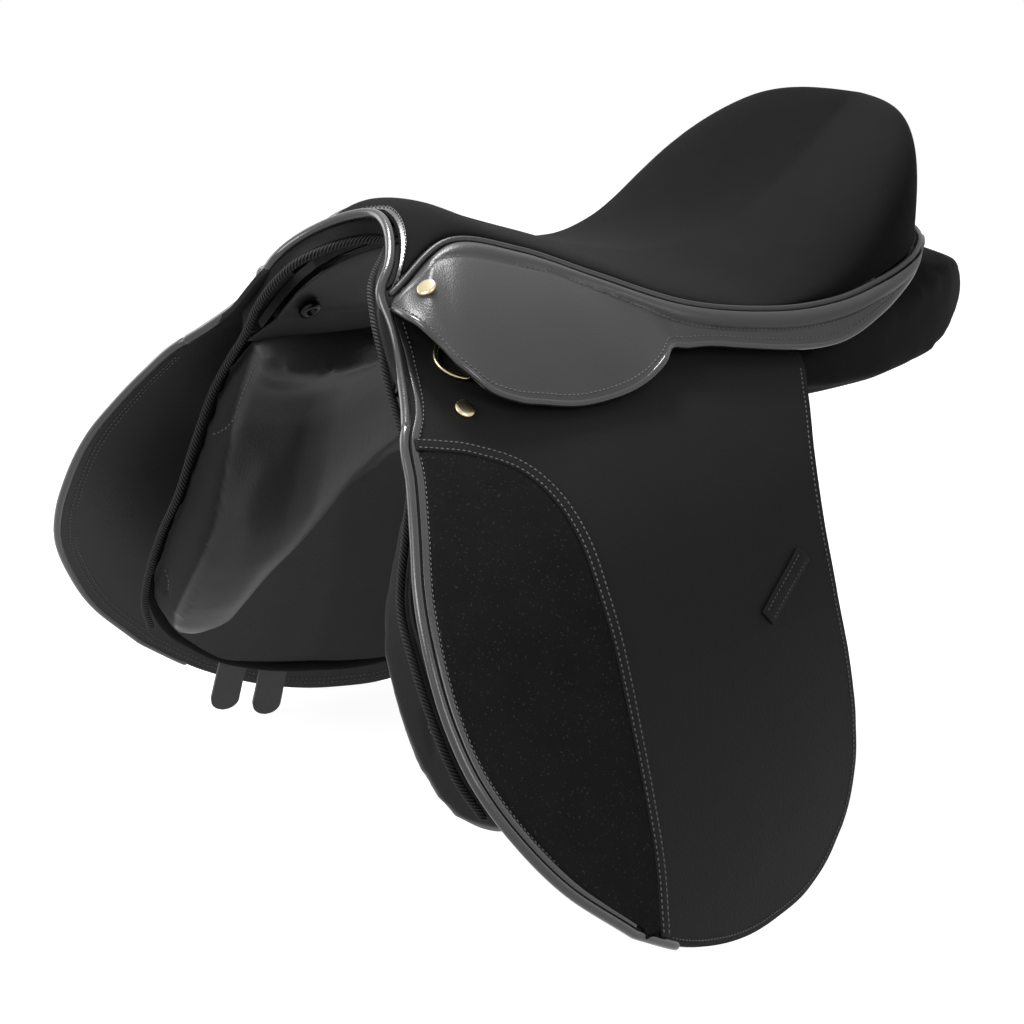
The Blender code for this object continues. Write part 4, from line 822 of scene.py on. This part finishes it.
for tag, side in SIDES:
    above, below = bend_line(side)
    bend = f"flap_body_{tag}", above, below

    def flap(u, v):
        return side_point(side, *flap_place(side, u, v))

    def front_edge(start, end, count, room=0.0):
        return [(flap_front(s, side) + room, s) for s in np.linspace(start, end, count)]

    def low_edge(start, end, count):
        return [flap_place(side, u, 1.0) for u in np.linspace(start, end, count)]

    main = finished(leather(f"flap_leather_{tag}", 72, 100, flap, FLAP_THICK, (side, 0, 0.3)), flap_leather,
                    replaces=[f"flap_{tag}", f"flap_top_{tag}"])
    main.data.materials.append(flap_lining)
    main.modifiers["thickness"].material_offset = 1
    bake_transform(main)
    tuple(above)
    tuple(below)
    rim = [side_point(side, y - 0.0006, s, 0.0014)
           for y, s in front_edge(-0.004, SIDE_END, 90) + low_edge(0.02, 0.15, 8)]
    finished(cord_piece(f"flap_roll_{tag}", rim, 0.0029, 14), rolled_leather,
             replaces=[f"flap_piping_{tag}"], bend=bend)
    # the piping's flange lies on the leather beside it, with a line of thread down its middle
    lines = [set_in(front_edge(-0.082, SIDE_END, 160), -room) for room in (-0.0028, -0.0052, -0.0076)]
    flange = leather(f"flap_flange_{tag}", 2, 159, lambda u, v: side_point(
        side, *lines[round(2 * u)][round(159 * v)], -0.001 - 0.0005 * (u == 0.5)),
        0.0012, (side, 0, 0.3), edge=0.8)
    finished(flange, rolled_leather, bend=bend)
    sewn(f"flange_stitching_{tag}", laid(side, lines[2][2:-2], -0.0012), bend=bend,
         size=(0.0032, 0.0024, 0.0008))
    # stitches along the turned rear and bottom edge, and the same seam seen from inside
    edge = [flap_place(side, 1.0, v) for v in np.linspace(0.17, 1.0, 110)] + low_edge(0.99, 0.13, 60)
    sewn(f"flap_edge_stitching_{tag}", laid(side, set_in(edge, -0.0036)), bend=bend)
    inner = low_edge(0.97, 0.02, 70) + front_edge(0.306, 0.01, 110, 0.002)
    for part, room in (("first", 0.005), ("second", 0.0085)):
        sewn(f"flap_inner_stitching_{part}_{tag}", laid(side, set_in(inner, -room), 0.0036, -1), bend=bend)

    def tab(u, v):
        return side_point(side, *tab_place(u, v - 0.5), -0.0022 - 0.0006 * (1 - (2 * v - 1) ** 2))

    finished(leather(f"keeper_tab_{tag}", 24, 10, tab, 0.0019, (side, 0, 0.3)), flap_leather,
             f"flap_body_{tag}", [f"keeper_{tag}"])
    for part, offset in (("upper", 0.28), ("lower", -0.28)):
        line = laid(side, [tab_place(u, offset) for u in np.linspace(0.06, 0.94, 30)], -0.0026)
        sewn(f"keeper_stitching_{part}_{tag}", line, f"flap_body_{tag}", size=(0.0028, 0.002, 0.0005))


# Knee inserts: napped suede let into the flap behind its piping, held by a curved leather border with a
# row of stitches along both its edges.
BORDER = ((-0.256, 0.004), (-0.24, 0.0085), (-0.2215, 0.015), (-0.195, 0.031), (-0.1785, 0.054),
          (-0.17, 0.084), (-0.168, 0.12), (-0.1665, 0.155), (-0.168, 0.198), (-0.1705, 0.238),
          (-0.175, 0.277), (-0.1835, 0.308), (-0.187, 0.319))
border_path, border_drop = (through(list(enumerate(column))) for column in zip(*BORDER))
suede = dressed(shader("knee_suede", 0.008, 0.95, Specular_IOR_Level=0.05), nap, 0.0005,
                tone=(0.01, (0.019, 0.0175, 0.0185)), lint=(0.045, 0.043, 0.045),
                Fibres_per_metre=1300.0, Specks=0.7)


@lru_cache(None)
def border_line(t, room):
    """Place (y, s) on the border's outer edge at share t, moved in by the room, square to the edge."""
    at = (len(BORDER) - 1) * t
    dy, ds = (line(at + 0.1) - line(at - 0.1) for line in (border_path, border_drop))
    size = math.hypot(dy, ds)
    return border_path(at) - room * ds / size, border_drop(at) + room * dy / size


for tag, side in SIDES:
    def napped(u, v):
        y1, s1 = border_line(mix(0.06, 1.0, v), 0.0072)
        s1 = min(s1, 0.3135)
        front = min(flap_front(s1, side) + 0.0074, y1 - 0.002)
        sink = 0.0013 * (1 - ease(u / 0.04)) + 0.0009 * (1 - ease((1 - u) / 0.04))
        return side_point(side, mix(front, y1, u), s1, -0.0021 + sink)

    finished(leather(f"knee_suede_{tag}", 50, 90, napped, 0.0012, (side, 0, 0.3)), suede,
             f"flap_body_{tag}", [f"knee_insert_{tag}"])

    def border(u, v):
        y, s = border_line(v, 0.0085 * u)
        return side_point(side, y, s, -0.0025 - 0.0005 * math.sin(math.pi * u))

    finished(leather(f"insert_strip_{tag}", 8, 150, border, 0.0022, (side, 0, 0.3)), flap_leather,
             f"flap_body_{tag}", [f"insert_border_{tag}"])
    for part, room in (("inner", 0.0068), ("outer", 0.0017)):
        line = [border_line(t, room) for t in np.linspace(0.004, 0.99, 260)]
        sewn(f"border_stitching_{part}_{tag}", laid(side, line, -0.0028), f"flap_body_{tag}")


# Seat: firm foam under stretched black microfibre, one smooth saddle curve from pommel to cantle, with a
# dark welt where it meets the skirts.
SEAT_ROWS = [
    (-0.185, 0.1362, 0.058, -0.2215, 0.103, 0.008, 0.0, -0.002, 0.1),
    (-0.16, 0.1395, 0.051, -0.176, 0.127, 0.008, 0.0, 0.0, 0.15),
    (-0.125, 0.126, 0.064, -0.131, 0.1185, 0.006, 0.0, 0.0, 0.3),
    (-0.085, 0.112, 0.0845, -0.087, 0.1005, 0.006, 0.0, 0.0, 0.3),
    (-0.036, 0.096, 0.112, -0.036, 0.0805, 0.005, 0.0, -0.002, 0.3),
    (0.022, 0.0855, 0.123, 0.025, 0.0703, 0.004, 0.0, -0.003, 0.3),
    (0.073, 0.088, 0.127, 0.0735, 0.0703, 0.018, 0.0, -0.002, 0.3),
    (0.1165, 0.104, 0.127, 0.1115, 0.078, 0.062, 0.0, 0.004, 0.3),
    (0.156, 0.129, 0.12, 0.142, 0.0852, 0.086, 0.0, 0.01, 0.3),
    (0.19, 0.156, 0.1095, 0.16, 0.0903, 0.088, 0.0, 0.007, 0.3),
    (0.213, 0.175, 0.1, 0.17, 0.0925, 0.08, 0.0, 0.0, 0.3),
    (0.223, 0.15, 0.092, 0.177, 0.0925, 0.06, 0.0, 0.0, 0.3),
    (0.219, 0.115, 0.087, 0.181, 0.0925, 0.022, 0.0, 0.0, 0.3),
    (0.209, 0.0915, 0.082, 0.184, 0.0925, 0.0, 0.0, 0.0, 0.3),
]
seat_face = loft(SEAT_ROWS)
LAST = len(SEAT_ROWS) - 1
microfibre = dressed(shader("seat_microfibre", 0.012, 0.9, Specular_IOR_Level=0.05, Sheen_Weight=0.03,
                            Sheen_Roughness=0.4), nap, 0.0003, tone=(0.007, 0.0105),
                     lint=(0.05, 0.05, 0.052), Fibres_per_metre=1800.0, Specks=0.8)


def seat(u, v):
    q, reach = mix(-1, 1, u), 0.045 * ease((v - 0.35) / 0.1) * ease((0.97 - v) / 0.2)
    return (seat_face(v - reach, q) + seat_face(v, q) * 2 + seat_face(v + reach, q)) / 4


cover = finished(leather("seat_cloth", 72, 150, seat, 0.002, (0, 0, 1), edge=0), microfibre,
                 "saddle", ["seat_cover"])


UP = Vector((0, 0, 1))


@lru_cache(None)
def seam_point(row, out, down):
    """Point beside the seat's edge at a row, pushed outwards and a little down."""
    ahead = seat_face(min(row + 0.2, LAST) / LAST, 1.0)
    behind = seat_face(max(row - 0.2, 0.0) / LAST, 1.0)
    return seat_face(row / LAST, 1.0) + ((ahead - behind).cross(UP).normalized() - UP * down) * out


def back_way(q):
    """The way out of the seat's rear edge, level."""
    return (seat_face(1.0, q - 0.02) - seat_face(1.0, min(q + 0.02, 1.0))).cross(UP).normalized()


def mirrored(point, side=-1):
    return Vector((side * point.x, point.y, point.z))


WELT_OUT, WELT_DOWN = 0.0034, 0.35
half = [seam_point(row, WELT_OUT, WELT_DOWN) for row in np.linspace(0.0, LAST - 0.6, 120)]
half += [seat_face(1.0, q) + (back_way(q) - UP * WELT_DOWN) * WELT_OUT for q in np.linspace(0.9, 0.0, 20)]
whole = half + [mirrored(point) for point in reversed(half[:-1])]
welt_leather = dressed(shader("welt_leather", 0.014, 0.42), grain, 0.00008, shine=(0.36, 0.5))
finished(cord_piece("seat_welt", whole, 0.0023), welt_leather, "saddle", ["seat_piping"])


# Skirts: each is one supple piece of smooth leather, sewn under the seat's welt with a raised roll along
# its top, fixed by a brass nail in front. Its lobe covers the stirrup bar.
def at_places(table):
    columns = [through([(place, point[k]) for place, point in table]) for k in range(3)]
    return lambda place: Vector([column(place) for column in columns])


def on_lobe(y, h):
    clear = 0.004 * ease(h / 0.5)
    return (0.108 + 0.0275 * h + 0.012 * h * (1 - h) + 0.856 * clear, y,
            0.084 - 0.0455 * h + 0.0072 * h * (1 - h) + 0.517 * clear)


skirt_low = at_places([
    (0.0, (0.069, -0.2262, 0.095)), (0.25, (0.085, -0.2275, 0.095)), (0.5, (0.099, -0.2245, 0.0915)),
    (0.7, on_lobe(-0.2195, 0.06)), (0.8, on_lobe(-0.216, 0.28)), (0.92, on_lobe(-0.2095, 0.47)),
    (1.08, on_lobe(-0.2, 0.68)), (1.3, on_lobe(-0.184, 0.84)), (1.6, on_lobe(-0.166, 0.93)),
    (2.0, on_lobe(-0.142, 1.02)), (2.45, on_lobe(-0.116, 1.02)), (2.85, on_lobe(-0.096, 0.96)),
    (3.15, on_lobe(-0.082, 0.86)), (3.4, on_lobe(-0.07, 0.72)), (3.6, (0.1268, -0.06, 0.0592)),
    (3.85, (0.1278, -0.048, 0.0578)), (4.1, (0.129, -0.033, 0.0568)), (4.5, (0.1332, -0.006, 0.0522)),
    (5.0, (0.137, 0.0225, 0.0475)), (6.0, (0.1385, 0.07, 0.045)), (7.0, (0.137, 0.106, 0.057)),
    (8.0, (0.128, 0.137, 0.069)), (9.0, (0.117, 0.157, 0.076)), (10.0, (0.107, 0.169, 0.079)),
    (11.0, (0.099, 0.177, 0.08))])
skirt_mid = at_places([
    (0.0, (0.067, -0.224, 0.099)), (0.3, (0.08, -0.2235, 0.0985)), (0.7, (0.0985, -0.217, 0.0945)),
    (1.0, (0.1075, -0.204, 0.088)), (2.0, (0.1085, -0.14, 0.0855)), (3.0, (0.111, -0.088, 0.083)),
    (3.8, (0.116, -0.05, 0.076))])


@lru_cache(None)
def skirt_frame(row):
    """The three points of the skirt's curve across, with the share at which it passes the middle."""
    top = seam_point(row, 0.0072, 0.25)
    low = skirt_low(row)
    middle = mix(top, low, 0.5)
    if row < 3.8:
        middle = mix(skirt_mid(row), middle, ease((row - 2.3) / 1.5))
    share = (middle - top).length / ((middle - top).length + (low - middle).length)
    share = min(max(share, 0.25), 0.75)
    return top, (middle - top * (1 - share) ** 2 - low * share ** 2) / (2 * share * (1 - share)), low


def skirt_point(row, v):
    """Point on the skirt's face, from the seam (v 0) to its lower edge (v 1), before its roll."""
    top, pull, low = skirt_frame(row)
    return top * (1 - v) ** 2 + pull * (2 * v * (1 - v)) + low * v ** 2


def skirt_face(row, v):
    """The same with its normal."""
    down = skirt_point(row, min(v + 0.01, 1.0)) - skirt_point(row, max(v - 0.01, 0.0))
    run = skirt_point(min(row + 0.03, 11.0), v) - skirt_point(max(row - 0.03, 0.0), v)
    normal = down.cross(run)
    normal = normal.normalized() if normal.length > 1e-12 else Vector((0.6, 0, 0.8))
    return skirt_point(row, v), normal


roll_height = through([(0.0, 0.0), (0.6, 0.0006), (1.2, 0.0018), (2.5, 0.0022), (5.0, 0.0026),
                       (7.0, 0.0032), (8.3, 0.002), (9.0, 0.0), (11.0, 0.0)])
ROLL_WIDTH = 0.0115
# the right skirt's front end lies further back and lower
RIGHT_TIP = Vector((0.0, 0.014, -0.006))
satin_leather = dressed(shader("skirt_leather", cool(0.034), 0.36), grain, 0.00012,
                        tone=(cool(0.032), cool(0.037)), shine=(0.34, 0.44), Cells_per_metre=1200.0)
brass = dressed(shader("pale_brass", (0.66, 0.56, 0.36), 0.28, 1.0), grain, 0.00002,
                tone=((0.6, 0.5, 0.31), (0.7, 0.61, 0.42)), shine=(0.18, 0.34), Cells_per_metre=1600.0)


def skirt_shape(row, v, side, lift=0.0):
    point, normal = skirt_face(row, v)
    wide = (skirt_point(row, 1.0) - skirt_point(row, 0.0)).length
    across = wide * v
    if across < ROLL_WIDTH:
        lift += roll_height(row) * math.sin(math.pi * across / ROLL_WIDTH) ** 0.8
    lift -= 0.0007 * math.exp(-((across - ROLL_WIDTH) / 0.0013) ** 2) * ease(row / 0.6)
    if v > 0.9 or wide - across < 0.006:
        lift += 0.0005 * math.exp(-((wide - across - 0.0015) / 0.0018) ** 2)
    point = point + normal * lift
    if side < 0:
        point += RIGHT_TIP * (1 - ease(row / 2.0))
    return mirrored(point, side), mirrored(normal, side)


def skirt_rows(u):
    return 11.0 * (0.55 * u + 0.45 * u ** 1.6)


def lobe_line(side):
    """Where the skirt bends: points just above and just below its lobe's hinge, slanted so that its
    rear stays down."""
    way = Vector((0.517 * side, -0.25, -0.856)).normalized()
    start = Vector((0.108 * side, -0.2205, 0.084)) - way * 0.006
    return start, start + way * 0.034


for tag, side in SIDES:
    bend = f"skirt_lobe_body_{tag}", *lobe_line(side)

    def skirt(u, v):
        return skirt_shape(skirt_rows(u), v, side)[0]

    finished(leather(f"skirt_leather_{tag}", 190, 44, skirt, 0.0032, (side, 0, 0.6)), satin_leather,
             replaces=[f"skirt_{tag}", f"skirt_lobe_{tag}"], bend=bend)
    rim = [skirt_shape(row, 1.0, side, -0.0016)[0] for row in skirt_rows(np.linspace(0.0, 1.0, 200))]
    finished(cord_piece(f"skirt_welt_{tag}", rim, 0.0023), rolled_leather, bend=bend)
    seams = {"roll": [], "edge": []}
    for row in skirt_rows(np.linspace(0.0, 1.0, 260)):
        wide = (skirt_point(row, 1.0) - skirt_point(row, 0.0)).length
        if 0.62 < row < 8.6 and wide > 0.016:
            seams["roll"].append(skirt_shape(row, ROLL_WIDTH / wide, side))
        if wide > 0.01:
            seams["edge"].append(skirt_shape(row, 1 - 0.0048 / wide, side))
    for part, seam in seams.items():
        sewn(f"skirt_stitching_{part}_{tag}", seam, bend=bend, size=(0.0032, 0.0024, 0.0009))


# Cantle band: a narrow leather strip round the back of the cantle, between the two skirts, with a glossy
# piping under it that runs on below the skirts' ends.
def band(u, v):
    q = mix(0.97, -0.97, u)
    out = 0.0045 + 0.0012 * math.sin(math.pi * v)
    return seat_face(1.0, q) + back_way(q) * out - UP * (0.003 + 0.0095 * v)


finished(leather("cantle_strip", 90, 8, band, 0.002, (0, 1, 0)), satin_leather, "saddle",
         ["cantle_band"])


# Arch: leather facing round the front of the pommel, a glossy piping outside it, and ribbed tape that
# binds the front of the panels inside it.
def both_halves(half):
    return [(-x, y, z) for x, y, z in reversed(half[1:])] + list(half)


arch_top = [tuple(seat_face(0.0, q) + Vector((0.0, -0.0058, -0.0006))) for q in (0.0, 0.28, 0.62, 1.0)]
arch_half = arch_top + [(0.0725, -0.229, 0.086), (0.088, -0.2345, 0.069)]
arch_foot = [tuple(side_point(1, flap_front(s) - room, s, 0.0015))
             for s, room in ((-0.022, 0.0026), (-0.006, 0.0008))]
binding_half = [(0.0, -0.183, 0.118), (0.02, -0.198, 0.115), (0.039, -0.22, 0.1035),
                (0.056, -0.23, 0.087), (0.071, -0.2345, 0.068), (0.083, -0.237, 0.048)]
panel_front_edge = through([(-0.043, -0.2335), (0.0, -0.2415), (0.04, -0.253), (0.08, -0.263),
                            (0.12, -0.2665), (0.165, -0.266), (0.2, -0.261), (0.225, -0.25),
                            (0.243, -0.232)])
arch_path = smooth_path(both_halves(arch_half + arch_foot), 240)
ARCH_SMOOTHING = 30
for turn in range(ARCH_SMOOTHING):
    arch_path[1:-1] = [(a + b * 2 + c) / 4 for a, b, c in zip(arch_path, arch_path[1:], arch_path[2:])]
finished(cord_piece("arch_roll", arch_path, 0.0032, 16), rolled_leather, "saddle",
         ["arch_piping"])
lower = []
for s in (0.004, 0.04, 0.08, 0.12, 0.16, 0.195, 0.222):
    y = panel_front_edge(s) - 0.0004
    lower.append(tuple(side_point(1, y, s, under_depth(y, s) + 0.0068)))
tape_path = smooth_path(both_halves(binding_half + lower), 420)
RIB_PITCH, RIB_TURNS = 0.0025, 5
ribbed = shader("ribbed_tape", 0.012, 0.62, Specular_IOR_Level=0.2)
tree = ribbed.node_tree
split = add(tree, "SeparateXYZ", {0: add(tree, "TexCoord")["UV"]})
turn = math_node(tree, "MULTIPLY", split["Y"], 2 * math.pi * RIB_TURNS)
rib = math_node(tree, "SINE", math_node(tree, "MULTIPLY_ADD", split["X"], 2 * math.pi / RIB_PITCH, turn))
# the rib wave also sets the tape's colour: painted shade in the hollows between the ribs and a painted
# highlight on their crests
feed(tree, tree.nodes["Principled BSDF"], {
    "Normal": add(tree, "Bump", {"Distance": 0.0005, "Height": rib})[0],
    "Base Color": mixed(tree, rib, rgba(0.002), rgba((0.06, 0.06, 0.061)))})
finished(cord_piece("arch_tape", tape_path, 0.0026, 14), ribbed, "saddle",
         ["panel_binding"])
COUNT = 150
outer = smooth_path(both_halves(arch_half), COUNT + 1)
inner = smooth_path(both_halves(binding_half), COUNT + 1)


def facing(u, v):
    i = round(u * COUNT)
    gap = (inner[i] - outer[i]).normalized() * 0.003
    return mix(outer[i] + gap, inner[i] - gap, v)


finished(leather("pommel_leather", COUNT, 8, facing, 0.002, (0, -1, 0), edge=0), flap_leather,
         "saddle", ["pommel_facing"])


def arch_flange(u, v, depth=-0.0009):
    """A flat flange beside the piping, sewn down on the seat's cloth."""
    q = mix(-1.0, 1.0, v)
    row = mix(0.055, mix(0.245, 0.15, abs(q)), u) / LAST
    return seat_face(row, q, depth)


finished(leather("arch_flange", 5, 90, arch_flange, 0.0009, (0, 0, 1), edge=1.0), rolled_leather,
         "saddle")
sewn("arch_stitching", [(arch_flange(0.8, v, -0.0012), Vector((2 * v - 1, -0.3, 0.8)))
                        for v in np.linspace(0.01, 0.99, 140)])


# Nails, dees and staples: flat brass heads that hold the skirt and the flap in front, and on each side a
# brass dee on a staple, which lies forward under the skirt's tip.
NAIL_HEAD = [(0.0, 0.0018), (0.004, 0.0017), (0.0052, 0.0016), (0.0059, 0.0012), (0.0063, 0.0007),
             (0.0063, 0.0002), (0.006, -0.001), (0.0, -0.001)]
NAIL_Y, NAIL_DROP = -0.213, -0.0085
DEE_Y, DEE_DROP, DEE_HALF, DEE_BULGE, DEE_LIFT = -0.194, -0.044, 0.0155, 0.018, 0.0017
STAPLE_REACH, STAPLE_SINK = 0.0014 + 0.0009 + 0.0009, 0.0004


def nail(place, tag, base, normal):
    made = turned(f"{place}_brass_nail_{tag}", NAIL_HEAD, 40, base, normal)
    made.data.set_sharp_from_angle(angle=math.radians(50))
    finished(made, brass, "saddle", [f"{place}_nail_{tag}"])


for tag, side in SIDES:
    nail("flap", tag, side_point(side, NAIL_Y, NAIL_DROP, -0.0012), side_normal(side, NAIL_Y, NAIL_DROP))
    base, normal = skirt_shape(0.66, 0.42, side)
    nail("skirt", tag, base + normal * 0.0006, normal)
    loop = [(DEE_Y, DEE_DROP + k * DEE_HALF) for k in np.linspace(-0.7, 0.7, 9)]
    loop += [(DEE_Y - DEE_BULGE * math.sin(lean), DEE_DROP + DEE_HALF * math.cos(lean))
             for lean in np.radians(np.linspace(18, 162, 31))]
    ring = [side_point(side, y, s, -DEE_LIFT) for y, s in loop + loop[:2]]
    finished(cord_piece(f"brass_dee_{tag}", ring, 0.0015, 14), brass, f"dee_body_{tag}",
             [f"dee_ring_{tag}"])
    hoop = [(-STAPLE_REACH, STAPLE_SINK)]
    hoop += [(STAPLE_REACH * math.sin(lean), DEE_LIFT + STAPLE_REACH * math.cos(lean))
             for lean in np.radians(np.linspace(-90, 90, 15))]
    hoop += [(STAPLE_REACH, STAPLE_SINK)]
    arch = [side_point(side, DEE_Y + ahead, DEE_DROP, -height) for ahead, height in hoop]
    finished(cord_piece(f"brass_staple_{tag}", arch, 0.0009, 10), brass, "saddle",
             [f"dee_staple_{tag}"])
